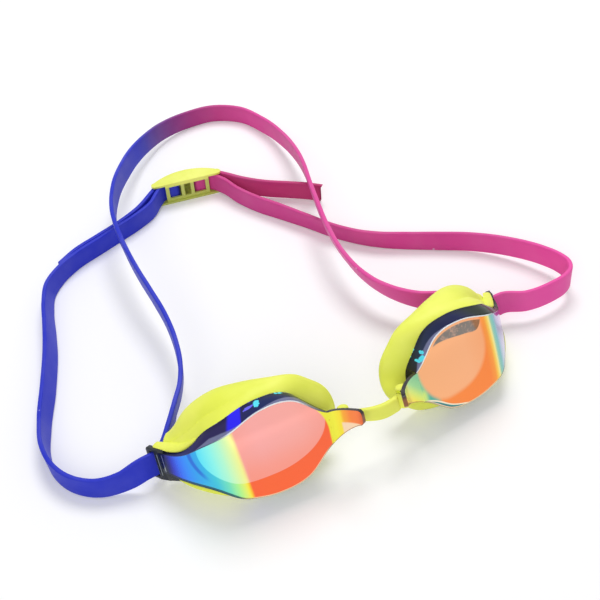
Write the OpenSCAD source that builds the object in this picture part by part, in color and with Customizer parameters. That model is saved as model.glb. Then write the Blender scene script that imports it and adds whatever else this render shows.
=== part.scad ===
// Racing swim goggles, lying open on a table: two mirrored lenses with soft seals,
// a nose bridge hooked between them, and one flat strap that runs twice behind the head.
// Millimetres. X runs along the front, Y goes from the lenses back to the strap, Z is up.

/* [Lens] */
// Height of the front above the hook line
lens_rise = 13.6; // [11.5:0.1:16.5]
// Depth of the front below the hook line
lens_drop = 16.4; // [13.5:0.1:19]
// Width of the flat front facet, from the nose end to the crease
front_w = 34; // [29:0.5:40]
// Length of the temple facet, from the crease to the strap slot
temple_l = 31; // [27:0.5:36]
// Turn of the surface at the crease, in degrees
crease_turn = 37; // [31:1:42]
// Further bend of the temple facet, in degrees
temple_turn = 24; // [18:1:29]
// Wall thickness of the moulding
lens_wall = 1.4; // [1.1:0.1:1.8]
// Depth of the side wall behind the front, at the nose
wall_depth = 8; // [6.5:0.5:10]

/* [Nose] */
// Distance from the middle of the bridge to each lens
half_gap = 17; // [14.5:0.5:20]
// Length of the nose tab, measured sideways from the lens
tab_l = 9.2; // [8:0.1:10.5]
// Radius of the tab's forward curve
tab_r = 10.5; // [9.5:0.1:13]
// Radius of the hook pin behind the tab
pin_r = 0.8; // [0.65:0.05:1]
// Running clearance between pin and bridge eye
pin_clear = 0.05; // [0.03:0.01:0.1]
// Height of the bridge band
bridge_h = 5.4; // [4.5:0.1:6.5]
// Thickness of the bridge band
bridge_t = 2.2; // [1.8:0.1:2.6]

/* [Seal] */
// Depth of the seal's rim behind the front, at the nose
rim_depth = 13.8; // [12:0.1:16.5]
// How far the rim passes the lens at the nose
rim_nose = 4.7; // [3.9:0.1:5.7]
// How far the rim passes the lens above and below
rim_flare = 1.8; // [1.5:0.1:2.2]
// Thickness of the seal's lip
lip_t = 2; // [1.6:0.1:2.4]

/* [Strap] */
// Width of the strap
strap_w = 8.6; // [7.2:0.1:10.3]
// Thickness of the strap
strap_t = 1.7; // [1.4:0.1:2.1]
// Free space round the strap where it passes a slot
strap_clear = 0.5; // [0.4:0.1:0.7]

/* [Buckle] */
// Length of the buckle
buckle_l = 31; // [28:0.5:37]
// Depth of the buckle, front to back
buckle_d = 7.8; // [7.4:0.1:9.4]
// Thickness of its rails and walls
buckle_wall = 0.9; // [0.75:0.05:1.1]

/* [Pose] */
// Backward tilt of both lenses as they lie, in degrees
tilt = 22; // [18:1:26]
// Turn of the left lens towards the temple, in degrees
yaw_left = 2; // [0:0.5:5]
// Turn of the right lens towards the temple, in degrees
yaw_right = 7; // [4:0.5:10]

/* [Hidden] */
$fn = 48;

lime = "#d9ee4e";
smoke = "#3d4a78";
blue = "#353fb8";
purple = "#7d3fa0";
pink = "#cc4488";

// The goggles' middle, which goes to the origin
middle = [1.37, 104.8, -0.06];
// Where the hook line lies above the table
lens_h = 22.6;

// Facets: columns along the lens, rows across it
cols = 28;
rows = 6;
ring_n = 2 * (cols + rows);

// Outline shares at seven even stations from the nose end to the temple end
front_top = [0.30, 0.93, 1.00, 0.74, 0.42, 0.10, 0.05];
front_low = [0.44, 0.90, 1.00, 0.87, 0.64, 0.53, 0.42];
seat_top = [0.24, 0.94, 1.09, 0.99, 0.70, 0.20, 0.04];
seat_low = [0.40, 0.96, 1.03, 0.98, 0.82, 0.60, 0.46];
bore_top = [0.16, 0.78, 0.95, 0.98, 0.85, 0.54, 0.20];
bore_low = [0.30, 0.80, 0.92, 0.93, 0.89, 0.78, 0.52];
rim_top = [0.40, 0.84, 0.99, 1.02, 0.97, 0.79, 0.38];
rim_low = [0.44, 0.80, 0.90, 0.89, 0.84, 0.73, 0.41];

length_l = front_w + temple_l;
front_bow = 4.5;
crease_l = 9;
upright_r = 160;
bore_end = front_w + 12;
seat_end = length_l - 6;
tail_depth = 5;
rim_sweep = 13.4;
edge_bevel = 0.35;

function mix(a, b, f) = a + (b - a) * f;
function clip(x, a, b) = min(max(x, a), b);
function ease(x) = let(f = clip(x, 0, 1)) f * f * (3 - 2 * f);
function unit(v) = v / norm(v);
// Smooth curve through evenly spaced values, x from 0 to 1
function curve(list, x) =
    let(m = len(list) - 1, q = clip(x, 0, 1) * m, i = min(floor(q), m - 1), f = q - i)
    let(a = list[max(i - 1, 0)], b = list[i], c = list[i + 1], d = list[min(i + 2, m)])
    b + f * ((c - a) / 2 + f * (a - 2.5 * b + 2 * c - d / 2 + f * ((d - a) / 2 + 1.5 * (b - c))));

// Plan of the front surface: direction and place at a distance s from the nose end
plan_step = 0.5;
function heading(s) = front_bow * clip(s / front_w - 0.5, -0.5, 0.5)
    + crease_turn * ease((s - front_w) / crease_l + 0.5)
    + temple_turn * clip((s - front_w) / temple_l, 0, 1);
plan = [for (i = 0, q = [0, 0]; i <= length_l / plan_step + 1;
             q = q + plan_step * [cos(heading((i + 0.5) * plan_step)), sin(heading((i + 0.5) * plan_step))],
             i = i + 1) q];
function plan_at(s) = let(q = s / plan_step, i = floor(q)) mix(plan[i], plan[i + 1], q - i);

// Ring of a shell: share along the lens and share across it, once round from the top of the nose end
function along(k) = k <= cols ? k / cols : k < cols + rows ? 1
    : k <= 2 * cols + rows ? 1 - (k - cols - rows) / cols : 0;
function across(k) = k <= cols ? 1 : k < cols + rows ? 1 - (k - cols) / rows
    : k <= 2 * cols + rows ? 0 : (k - 2 * cols - rows) / rows;
// Columns stand closer near both ends, where the outlines turn
function spread(f) = f - 0.07 * sin(360 * f);

function front_v(f, g) = mix(-lens_drop * curve(front_low, f), lens_rise * curve(front_top, f), g);
function front_at(f, g) =
    let(s = spread(f) * length_l, v = front_v(spread(f), g), q = plan_at(s))
    [q[0], q[1] + v * v / (2 * upright_r), v];
// Inside of the front, which stops short of the solid temple end
function inner_at(f, g) =
    let(s = mix(lens_wall * 1.5, bore_end - lens_wall, spread(f)), v = front_v(s / length_l, g))
    let(w = v + lens_wall * 1.2 * (1 - 2 * g), q = plan_at(s), h = heading(s))
    [q[0] - lens_wall * sin(h), q[1] + lens_wall * cos(h) + w * w / (2 * upright_r), w];
// Back edge of the lens, where the seal sits: outer line and bore
function round_end(f, g, out) = out * (1 - pow(2 * g - 1, 2)) * (abs(2 * f - 1) > 0.999 ? 2 * f - 1 : 0);
function seat_depth(s) = mix(wall_depth, tail_depth, ease(s / length_l));
function seat_at(f, g) =
    let(s = mix(0.4, seat_end, spread(f)), q = plan_at(s))
    [q[0] + round_end(f, g, 0.8), q[1] + seat_depth(s),
     mix(-lens_drop * curve(seat_low, spread(f)), lens_rise * curve(seat_top, spread(f)), g)];
function bore_at(f, g) =
    let(s = mix(0.4 + lens_wall, bore_end, spread(f)), q = plan_at(s))
    [q[0] + round_end(f, g, 0.8), q[1] + seat_depth(s),
     mix(-lens_drop * curve(bore_low, spread(f)), lens_rise * curve(bore_top, spread(f)), g)];
// Rim of the seal against the face
rim_end = plan_at(seat_end)[0] - 1.4;
function rim_at(f, g) =
    let(u = mix(-rim_nose, rim_end, spread(f)) + round_end(f, g, 2.2))
    [u, rim_depth + rim_sweep * pow(max(u, 0) / rim_end, 1.7),
     mix(-(lens_drop + rim_flare) * curve(rim_low, spread(f)), (lens_rise + rim_flare) * curve(rim_top, spread(f)), g)];

eye_mid = [plan_at(bore_end)[0] / 2, 0, (lens_rise - lens_drop) / 2];
// Straight outwards from the middle of the eye, across the lens
function outward(p) = unit([p[0] - eye_mid[0], 0, 1.6 * (p[2] - eye_mid[2])]);
// Corners of the nose end, rounded by taking the mean of neighbours a few times
function nose_share(k) = 1 - ease((along(k) - 0.06) / 0.14);
function rounded(ring, n) = n == 0 ? ring : rounded([for (k = [0 : ring_n - 1])
    let(mean = (ring[(k + ring_n - 1) % ring_n] + 2 * ring[k] + ring[(k + 1) % ring_n]) / 4)
    mix(ring[k], mean, nose_share(k))], n - 1);
function ring_of(kind) = kind == "seat" ? rounded([for (k = [0 : ring_n - 1]) seat_at(along(k), across(k))], 4)
    : kind == "rim" ? rounded([for (k = [0 : ring_n - 1]) rim_at(along(k), across(k))], 6)
    : [for (k = [0 : ring_n - 1]) kind == "front" ? front_at(along(k), across(k))
       : kind == "inner" ? inner_at(along(k), across(k)) : bore_at(along(k), across(k))];
// Ring between two rings, pushed outwards and back
function between(a, b, f, out, back = 0) = [for (k = [0 : ring_n - 1])
    let(p = mix(a[k], b[k], f)) p + out * fade(k) * outward(p) + [0, back * fade(k), 0]];
// The push dies away towards the temple end
function fade(k) = 1 - 0.6 * ease((along(k) - 0.7) / 0.26);

// Triangles between one ring and the next, and of a plain grid
function band(i, j) = [for (k = [0 : ring_n - 1]) let(m = (k + 1) % ring_n)
    each [[i * ring_n + k, j * ring_n + m, i * ring_n + m], [i * ring_n + k, j * ring_n + k, j * ring_n + m]]];
// Ring index of a grid point on the border, or its own index after the rings
function grid_index(i, j, ring, start) = j == rows ? ring * ring_n + i : i == cols ? ring * ring_n + cols + rows - j
    : j == 0 ? ring * ring_n + 2 * cols + rows - i : i == 0 ? ring * ring_n + 2 * cols + rows + j
    : start + (i - 1) * (rows - 1) + j - 1;
function grid(ring, start, flip) = [for (i = [0 : cols - 1], j = [0 : rows - 1])
    let(a = grid_index(i, j, ring, start), b = grid_index(i + 1, j, ring, start))
    let(c = grid_index(i + 1, j + 1, ring, start), d = grid_index(i, j + 1, ring, start))
    each flip ? [[a, b, c], [a, c, d]] : [[a, c, b], [a, d, c]]];
function grid_points(inner) = [for (i = [1 : cols - 1], j = [1 : rows - 1])
    inner ? inner_at(i / cols, j / rows) : front_at(i / cols, j / rows)];

// Moulded shell of a lens: front, side wall and the bore that the eye looks through
module lens_shell() {
    front = ring_of("front");
    seat = ring_of("seat");
    bore = ring_of("bore");
    inner = ring_of("inner");
    rings = [front, between(front, seat, 0.06, edge_bevel), between(front, seat, 0.5, edge_bevel),
             seat, bore, between(bore, inner, 0.5, 0), inner];
    last = len(rings) - 1;
    start = len(rings) * ring_n;
    points = concat([for (r = rings) each r], grid_points(false), grid_points(true));
    faces = concat([for (i = [0 : last - 1]) each band(i, i + 1)],
                   grid(0, start, false), grid(last, start + (cols - 1) * (rows - 1), true));
    polyhedron(points, faces, convexity = 6);
}

// Nose tab, curved forwards, with the hook that holds the bridge
tab_root_low = lens_drop * front_low[0];
tab_root_top = lens_rise * front_top[0];
tab_tip_top = 3;
tab_tip_low = 2.6;
tab_corner = 1.4;
tab_t = 1.4;
tab_inset = 2.2;
eye_r = pin_r + pin_clear + 1.15;
bridge_gap = 0.3;
hook_u = -6;
hook_y = sqrt(pow(tab_r + tab_t + bridge_gap + eye_r, 2) - hook_u * hook_u) - tab_r;
hook_arm = 1.1;
eye_top = -0.5;
bridge_low = -bridge_h - 0.9;
hook_top = eye_top + 0.2;
hood_low = hook_top + hook_arm + 0.2;
hood_t = 0.7;

module tab_outline() {
    polygon([[tab_inset, tab_root_top], [-tab_l + tab_corner, tab_tip_top], [-tab_l, tab_tip_top - tab_corner],
             [-tab_l, -tab_tip_low + 2 * tab_corner], [-tab_l + tab_corner, -tab_tip_low],
             [0, -tab_root_low], [tab_inset, -tab_root_low]]);
}

module nose_tab() {
    intersection() {
        rotate([90, 0, 0]) linear_extrude(4 * tab_r, center = true) tab_outline();
        translate([0, -tab_r, 0]) linear_extrude(4 * tab_r, center = true) difference() {
            circle(tab_r + tab_t, $fn = 96);
            circle(tab_r, $fn = 96);
            translate([-2 * tab_r, -4 * tab_r]) square([4 * tab_r, 4 * tab_r]);
        }
    }
    translate([hook_u, hook_y, bridge_low]) cylinder(r = pin_r, h = hook_top + hook_arm - bridge_low);
    translate([hook_u - pin_r, -1, hook_top]) cube([2 * pin_r, hook_y + 1, hook_arm]);
}

// Strap slot behind the temple end: a plate with a window and a round outer post
plate_t = 1.8;
post_r = 1.1;
slot_near = 0.9;
slot_far = slot_near + 2 * strap_clear + strap_t + 0.6;
post_at = slot_far + post_r;
plate_root = 5;
arm_h = 1.2;
slot_mid = -4.2;
slot_h = strap_w + 2 * strap_clear;
end_turn = heading(length_l);
module at_temple_end() {
    translate([plan_at(length_l)[0], plan_at(length_l)[1], 0]) rotate(end_turn) children();
}

module outrigger() {
    at_temple_end() translate([0, 0, slot_mid]) difference() {
        linear_extrude(slot_h + 2 * arm_h, center = true) {
            translate([-plate_root, 0]) square([plate_root + post_at, plate_t]);
            translate([post_at, plate_t / 2]) circle(post_r);
        }
        translate([slot_near, -post_r, -slot_h / 2]) cube([slot_far - slot_near, plate_t + 2 * post_r, slot_h]);
    }
}

module lens() {
    lens_shell();
    nose_tab();
    outrigger();
}

// Soft seal: rows of place between seat and rim, outward push and backward push, outside and then inside
// The roll is smooth at the nose, and a groove parts it from the skirt towards the temple
nose_profile = [[0, 0, 0], [0.12, 0.7, 0], [0.3, 1.35, 0], [0.45, 1.75, 0], [0.62, 2.0, 0], [0.8, 1.8, 0],
                [0.95, 1.0, 0.6], [1.0, -0.2, 1.0]];
temple_profile = [[0, 0, 0], [0.12, 0.5, 0], [0.36, 0.6, 0], [0.42, 0.9, 0], [0.6, 2.0, 0], [0.8, 1.9, 0],
                  [0.95, 1.0, 0.6], [1.0, -0.2, 1.0]];
function groove(k) = ease((along(k) - 0.42) / 0.2);
function outer_ring(a, b, i) = [for (k = [0 : ring_n - 1])
    let(r = mix(nose_profile[i], temple_profile[i], groove(k)), p = mix(a[k], b[k], r[0]))
    p + r[1] * fade(k) * outward(p) + [0, r[2] * fade(k), 0]];
seal_inside = [[1.0, -0.3, -0.4], [0.7, -0.2, 0], [0.3, 0, 0], [0, 0, 0]];
module seal() {
    seat = ring_of("seat");
    bore = ring_of("bore");
    rim = ring_of("rim");
    lip = between(rim, rim, 0, -lip_t);
    outside = [for (i = [0 : len(nose_profile) - 1]) outer_ring(seat, rim, i)];
    inside = [for (r = seal_inside) between(bore, lip, r[0], r[1], r[2])];
    rings = concat(outside, inside);
    count = len(rings);
    faces = concat([for (i = [0 : count - 2]) each band(i, i + 1)],
                   [for (f = band(0, count - 1)) [f[2], f[1], f[0]]]);
    polyhedron([for (r = rings) each r], faces, convexity = 6);
    skirt_tongue();
}

// End of the skirt, which lies on the slot's upper arm
tongue_t = 0.9;
tongue_low = slot_mid + slot_h / 2 + arm_h + 0.06;
module skirt_tongue() {
    at_temple_end() hull() {
        translate([-7, 4.1, tongue_low]) cylinder(r = 1.6, h = tongue_t);
        translate([-6, 2.2, tongue_low]) cylinder(r = 0.9, h = tongue_t);
        translate([1.7, 1.3, tongue_low]) cylinder(r = 0.9, h = tongue_t);
        translate([1.7, 2.2, tongue_low]) cylinder(r = 0.9, h = tongue_t);
    }
}

// Places on the lenses: tilted back, turned to the temple, set apart and lifted, side -1 left and 1 right
function tilted(p) = [p[0], p[1] * cos(tilt) + p[2] * sin(tilt), p[2] * cos(tilt) - p[1] * sin(tilt)];
function turned(p, a) = [p[0] * cos(a) - p[1] * sin(a), p[0] * sin(a) + p[1] * cos(a), p[2]];
function yaw(side) = side < 0 ? yaw_left : yaw_right;
function aimed(p, side) = let(q = turned(tilted(p), yaw(side))) [side * q[0], q[1], q[2]];
function seated(p, side) = aimed(p, side) + [side * half_gap, 0, lens_h];
module eyecup(side) {
    mirror([side < 0 ? 1 : 0, 0, 0]) translate([half_gap, 0, lens_h]) rotate([0, 0, yaw(side)])
        rotate([-tilt, 0, 0]) children();
}
module home() {
    translate(-middle) children();
}

// Ribbon swept along a row of stations, each a centre, a direction and the way its width points
edge_cut = 0.4;
function ribbon_ring(c, t, w, width, thick, slant) =
    let(n = unit(cross(t, w)), m = unit(cross(n, t)), a = thick / 2, b = width / 2)
    [for (q = [[a, edge_cut - b], [a, b - edge_cut], [a - edge_cut, b], [edge_cut - a, b], [-a, b - edge_cut],
               [-a, edge_cut - b], [edge_cut - a, -b], [a - edge_cut, -b]])
     c + q[0] * n + q[1] * m - slant * (0.5 - q[1] / width) * unit(t)];
module ribbon(stations, width, thick, slant = 0) {
    count = len(stations);
    points = [for (i = [0 : count - 1]) let(s = stations[i])
              each ribbon_ring(s[0], s[1], s[2], width, thick, i == count - 1 ? slant : 0)];
    sides = [for (i = [0 : count - 2], k = [0 : 7]) let(a = 8 * i + k, b = 8 * i + (k + 1) % 8)
             each [[a, b + 8, a + 8], [a, b, b + 8]]];
    caps = [for (k = [1 : 6]) each [[0, k + 1, k], [8 * count - 8, 8 * count - 8 + k, 8 * count - 8 + k + 1]]];
    polyhedron(points, concat(sides, caps), convexity = 6);
}

// Nose bridge: a band between two eyes that slip on the hooks, each with a hood over the hook's arm
bridge_bow = 0.8;
bridge_steps = 12;
function bridge_at(f) =
    let(mid = [hook_u, hook_y, bridge_low + bridge_h / 2], a = seated(mid, -1), b = seated(mid, 1))
    mix(a, b, f) - [0, bridge_bow * sin(180 * f), 0.4 * bridge_bow * sin(180 * f)];
module nose_bridge() {
    color(lime) home() difference() {
        union() {
            ribbon([for (i = [0 : bridge_steps]) let(f = i / bridge_steps)
                    [bridge_at(f), bridge_at(f + 0.01) - bridge_at(f - 0.01),
                     mix(aimed([0, 0, 1], -1), aimed([0, 0, 1], 1), f)]], bridge_h - 0.02, bridge_t);
            for (side = [-1, 1]) eyecup(side) translate([hook_u, hook_y, bridge_low])
                cylinder(r = eye_r, h = hood_low + hood_t - bridge_low);
        }
        for (side = [-1, 1]) eyecup(side) translate([hook_u, hook_y, 0]) {
            translate([0, 0, -2 * bridge_h]) cylinder(r = pin_r + pin_clear, h = 2 * bridge_h + hood_low);
            translate([-2 * eye_r, -2 * eye_r, eye_top])
                cube([4 * eye_r, 2 * eye_r + pin_r + pin_clear, hood_low - eye_top]);
        }
    }
}

// Buckle: two rails, a front plate with three windows, a curved back and two posts that the strap folds round
buckle_at = [0.2, 166.6, 0];
buckle_turn = -10;
tip_r = 1.6;
tip_u = buckle_l / 2 - tip_r;
back_rise = buckle_d - 2 * tip_r;
back_r = (tip_u * tip_u + back_rise * back_rise) / (2 * back_rise);
front_recess = 0.7;
front_y = front_recess - buckle_d / 2;
loop_post_r = 0.5;
loop_gap = 0.1;
loop_u = 5.3;
loop_r = loop_post_r + loop_gap + strap_t / 2;
loop_y = front_y + buckle_wall + 0.3 + strap_t / 2 + loop_r;
rail_gap = strap_w + 0.3;
buckle_h = rail_gap + 2 * buckle_wall;
front_l = buckle_l - 11.6;
window_h = strap_w - 2.6;
back_half = loop_u - loop_r - strap_t / 2 + 0.7;
module rail_outline(inset = 0) {
    intersection() {
        translate([0, buckle_d / 2 - back_r]) circle(back_r - inset, $fn = 128);
        translate([-tip_u, -buckle_d / 2]) square([2 * tip_u, buckle_d]);
    }
}
module buckle_place() {
    translate(buckle_at) rotate(buckle_turn) children();
}
module buckle() {
    color(lime) home() buckle_place() {
        for (z = [0, buckle_h - buckle_wall]) translate([0, 0, z]) linear_extrude(buckle_wall) {
            rail_outline();
            for (side = [-1, 1]) translate([side * tip_u, tip_r - buckle_d / 2]) circle(tip_r);
        }
        linear_extrude(buckle_h) difference() {
            intersection() {
                rail_outline();
                translate([-back_half, 0]) square([2 * back_half, buckle_d]);
            }
            rail_outline(buckle_wall);
        }
        difference() {
            translate([-front_l / 2, front_y, 0]) cube([front_l, buckle_wall, buckle_h]);
            for (w = [[-loop_u - 0.2, 5.2], [0, 2.8], [loop_u + 0.2, 5.2]])
                translate([w[0] - w[1] / 2, -buckle_d, (buckle_h - window_h) / 2]) cube([w[1], buckle_d, window_h]);
        }
        for (side = [-1, 1]) translate([side * loop_u, loop_y, 0]) cylinder(r = loop_post_r, h = buckle_h);
    }
}

// Strap: rows of x, y and height of the lower edge and lean of the width, from the left tail to the right tail
left_tail = [[-66.6, 143, 0, 0, 0], [-58, 147.4, 0, 0, 0], [-47, 151.1, 0, 0, 0], [-36, 154.8, 0, 0, 0],
             [-25, 159.5, 0.4, 0, 0], [-16, 165.4, 1, 0, 0]];
left_back = [[-14.3, 163.8, 1.1, 0, 0], [-19, 159.4, 0.4, 0, 0], [-27, 155.6, 0, 0, 0], [-36, 152.4, 0, 0, 0],
             [-47, 148.7, 0, 0, 0], [-58, 145, 0, 0, 0], [-67, 139.4, 0, -0.08, 0.06], [-73, 133, 0, -0.16, 0.1],
             [-77, 123, 0, -0.24, 0.08], [-80, 111, 0, -0.3, 0.1], [-83, 100, 0, -0.34, 0.12],
             [-90, 81, 0, -0.34, 0.12]];
left_lower = [[-97, 65, 0, -0.26, 0.08], [-101, 53, 0, -0.16, 0.03], [-101.6, 45, 0, -0.06, 0], [-98, 35, 0, 0, 0],
              [-91, 28.5, 0.2, 0, 0.04], [-82, 25.2, 1.6, 0, 0.15]];
left_upper = [[-61, 36.6, 5.2, 0.1, 0.04], [-57.4, 42, 6.8, 0.14, -0.06], [-52.4, 48.8, 7.5, 0.14, -0.06],
              [-48, 57, 8, 0.08, -0.03], [-44.6, 68, 9, 0.02, 0], [-42.5, 81.5, 10, -0.05, 0], [-42.1, 96, 11, -0.1, 0],
              [-42.3, 109, 12, -0.1, 0], [-41.4, 127.5, 13, -0.1, 0], [-38.4, 149.5, 13, 0, 0]];
crown = [[-32, 163.3, 12.5, -0.07, 0.04], [-21, 181, 9, -0.14, 0.1], [-14, 190.8, 6.6, -0.14, 0.12],
         [-5.5, 200.3, 4.2, -0.1, 0.12], [7.5, 210, 1.8, -0.05, 0.1], [21, 214.2, 0.4, 0, 0.05], [33.5, 213.6, 0, 0, 0],
         [44, 206, 0, 0, 0], [49.8, 190, 0.8, 0, 0], [51, 170, 3.8, -0.08, 0], [49, 153, 7.2, -0.12, 0]];
right_upper = [[45, 136, 10.6, -0.15, 0], [41, 122.5, 11.8, -0.18, -0.03], [36.7, 107, 12.5, -0.18, -0.03],
               [33.6, 92, 12.4, -0.24, -0.02], [32.9, 77, 11.2, -0.36, -0.02], [33.8, 67, 10, -0.36, -0.06],
               [36.2, 58.8, 9, -0.32, -0.12], [39.8, 52.2, 8, -0.22, -0.12], [45.5, 45.5, 7, -0.1, -0.04],
               [54, 40, 6, -0.04, 0.1]];
right_lower = [[80, 25.4, 5, 0, 0.22], [92, 24.6, 4.4, 0, 0.2], [98.5, 26.2, 4.1, 0.04, 0.15],
               [102.5, 29, 4, 0.09, 0.09], [104.2, 33, 4, 0.13, 0.04], [104, 38, 3.7, 0.13, 0.04], [101.8, 44.5, 3.3, 0.11, 0.05],
               [95, 57, 1.9, 0.08, 0.06], [84.3, 69, 0.6, 0.07, 0.08]];
right_back = [[74, 76.8, 0.1, 0.04, 0.06], [63, 84.4, 0, 0, 0], [55, 90.6, 0, -0.09, -0.09], [48.5, 97, 0, -0.15, -0.12],
              [43.3, 103.7, 0, -0.18, -0.1], [34.5, 118.6, 0, -0.14, -0.08], [28, 129, 0, -0.05, -0.03],
              [22, 138.5, 0, 0, 0], [17.2, 148.3, 0.4, 0, 0], [14, 157.6, 1.1, 0, 0]];
right_tail = [[16, 160.8, 1.1, 0, 0], [21.6, 153.6, 0.9, 0, 0], [29, 146, 0.8, 0, 0], [37.2, 139.8, 0.7, 0, 0],
              [44, 134.6, 0.6, 0, 0], [47.2, 131.4, 0.6, 0, 0]];

function laid(r) = let(w = [r[3], r[4], sqrt(1 - r[3] * r[3] - r[4] * r[4])])
    [[r[0], r[1], r[2] + strap_t / 2 * norm([r[3], r[4]])] + strap_w / 2 * w, w];
function reversed(list) = [for (i = [len(list) - 1 : -1 : 0]) list[i]];
// Turn round the slot's outer post, from the upper run to the lower one
wrap_r = post_r + strap_clear / 2 + strap_t / 2;
wrap_lead = 4;
wrap_from = -50;
wrap_to = -10;
post_place = plan_at(length_l) + post_at * [cos(end_turn), sin(end_turn)]
    + plate_t / 2 * [-sin(end_turn), cos(end_turn)];
function wrap_point(t, lead) = let(q = post_place + wrap_r * [sin(t), -cos(t)] + lead * [cos(t), sin(t)])
    [q[0], q[1], slot_mid];
function wrap_row(side) = [for (q = [[wrap_from, -wrap_lead], [wrap_from, 0], [mix(wrap_from, wrap_to, 0.33), 0],
    [mix(wrap_from, wrap_to, 0.67), 0], [wrap_to, 0], [wrap_to, wrap_lead]])
    [seated(wrap_point(q[0], q[1]), side), aimed([0, 0, 1], side)]];
// Fold round a post of the buckle, from the run at the front to the tail at the back
loop_lead = 4.9;
loop_turns = 6;
function loop_point(side, q) = let(w = turned([side * (loop_u + q[0]), loop_y + q[1], 0], buckle_turn))
    [buckle_at + w + [0, 0, buckle_h / 2], [0, 0, 1]];
function loop_row(side) = concat([loop_point(side, [loop_lead, -loop_r])],
    [for (i = [0 : loop_turns]) let(a = 180 * i / loop_turns) loop_point(side, loop_r * [-sin(a), -cos(a)])],
    [loop_point(side, [loop_lead, loop_r])]);

// The whole strap as one row of stations, and the count of stations in each stretch
stretches = [[for (r = left_tail) laid(r)], reversed(loop_row(-1)), [for (r = left_back) laid(r)],
             [for (r = left_lower) laid(r)], reversed(wrap_row(-1)), [for (r = left_upper) laid(r)],
             [for (r = crown) laid(r)], [for (r = right_upper) laid(r)], wrap_row(1),
             [for (r = right_lower) laid(r)], [for (r = right_back) laid(r)], loop_row(1),
             [for (r = right_tail) laid(r)]];
route = [for (s = stretches) each s];
first = [for (i = 0, n = 0; i <= len(stretches); n = n + (i < len(stretches) ? len(stretches[i]) : 0), i = i + 1) n];
top_station = len(route) - 1;
function chord(i) = norm(route[i + 1][0] - route[i][0]);
function slope(i) = (route[i + 1][0] - route[i][0]) / chord(i);
function tangent(i) = i == 0 ? slope(0) : i == top_station ? slope(top_station - 1)
    : (chord(i) * slope(i - 1) + chord(i - 1) * slope(i)) / (chord(i - 1) + chord(i));
// Station on the smooth curve from route point i to the next, f from 0 to 1
function station(i, f) =
    let(a = route[i][0], b = route[i + 1][0], h = chord(i), m = h * tangent(i), n = h * tangent(i + 1))
    [a + f * (m + f * (3 * (b - a) - 2 * m - n + f * (m + n - 2 * (b - a)))),
     m + f * (6 * (b - a) - 4 * m - 2 * n + f * (3 * m + 3 * n - 6 * (b - a))),
     mix(route[i][1], route[i + 1][1], f)];
ring_step = 6;
// The right tail's end is cut at a slant
tail_slant = 3.5;
function stations(a, b) = concat([for (i = [a : b - 1]) let(n = ceil(chord(i) / ring_step))
    for (k = [0 : n - 1]) station(i, k / n)], [station(b - 1, 1)]);
module strap(a, b, paint, slant = 0) {
    color(paint) home() ribbon(stations(a, b), strap_w, strap_t, slant);
}

module left_lens() { color(smoke) home() eyecup(-1) lens(); }
module right_lens() { color(smoke) home() eyecup(1) lens(); }
module left_seal() { color(lime) home() eyecup(-1) seal(); }
module right_seal() { color(lime) home() eyecup(1) seal(); }
module strap_left_tail() { strap(0, first[1], blue); }
module strap_left_loop() { strap(first[1], first[2] - 1, blue); }
module strap_left_back() { strap(first[2] - 1, first[3] - 1, blue); }
module strap_left_lower() { strap(first[3] - 1, first[4], blue); }
module strap_left_wrap() { strap(first[4], first[5] - 1, blue); }
module strap_left_upper() { strap(first[5] - 1, first[6], blue); }
module strap_crown() { strap(first[6], first[7] - 1, purple); }
module strap_right_upper() { strap(first[7] - 1, first[8], pink); }
module strap_right_wrap() { strap(first[8], first[9] - 1, pink); }
module strap_right_lower() { strap(first[9] - 1, first[10], pink); }
module strap_right_back() { strap(first[10], first[11], pink); }
module strap_right_loop() { strap(first[11], first[12] - 1, pink); }
module strap_right_tail() { strap(first[12] - 1, top_station, pink, tail_slant); }

left_lens();
right_lens();
left_seal();
right_seal();
nose_bridge();
buckle();
strap_left_wrap();
strap_right_wrap();
strap_left_loop();
strap_right_loop();
strap_left_lower();
strap_right_lower();
strap_left_back();
strap_right_back();
strap_left_tail();
strap_right_tail();
strap_left_upper();
strap_right_upper();
strap_crown();
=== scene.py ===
# %% [markdown]
# # Swim goggles: looks around a packed frame
# The goggles lie open on a table. The frame below is the measured model, and the pieces made here take the
# place of its solids, in metres, in the same frame. The camera comes first, then a small toolbox for
# finishes, table and light, and then the lenses, the seals, the bridge, the strap and the buckle.

# %% Load the frame
from math import ceil, copysign, cos, pi, radians, sin, sqrt

import bmesh
import bpy
import numpy as np
from mathutils import Matrix, Vector


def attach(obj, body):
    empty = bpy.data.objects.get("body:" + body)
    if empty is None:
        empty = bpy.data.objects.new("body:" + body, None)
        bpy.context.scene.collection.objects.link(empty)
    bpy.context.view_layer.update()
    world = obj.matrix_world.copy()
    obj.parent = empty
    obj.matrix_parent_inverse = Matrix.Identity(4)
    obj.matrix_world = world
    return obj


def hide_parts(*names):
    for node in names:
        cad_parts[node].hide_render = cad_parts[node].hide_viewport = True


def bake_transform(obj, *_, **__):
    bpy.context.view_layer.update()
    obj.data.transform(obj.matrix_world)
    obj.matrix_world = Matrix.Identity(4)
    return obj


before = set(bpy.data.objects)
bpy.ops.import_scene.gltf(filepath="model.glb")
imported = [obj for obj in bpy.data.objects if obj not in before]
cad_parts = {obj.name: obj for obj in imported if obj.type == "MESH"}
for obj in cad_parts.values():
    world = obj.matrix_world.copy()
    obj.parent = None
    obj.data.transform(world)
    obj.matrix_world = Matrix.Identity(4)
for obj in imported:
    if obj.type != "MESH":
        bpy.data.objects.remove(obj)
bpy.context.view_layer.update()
scene = bpy.context.scene
scene.view_settings.view_transform = "Standard"
MM = 0.001
# The frame's origin, in the millimetres that the shapes below are written in
MIDDLE = np.array([1.37, 104.8, -0.06])
SIDES = ((-1, "left"), (1, "right"))


def to_frame(points):
    """Millimetres on the table to metres in the frame."""
    return (np.asarray(points, float) - MIDDLE) * MM


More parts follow.
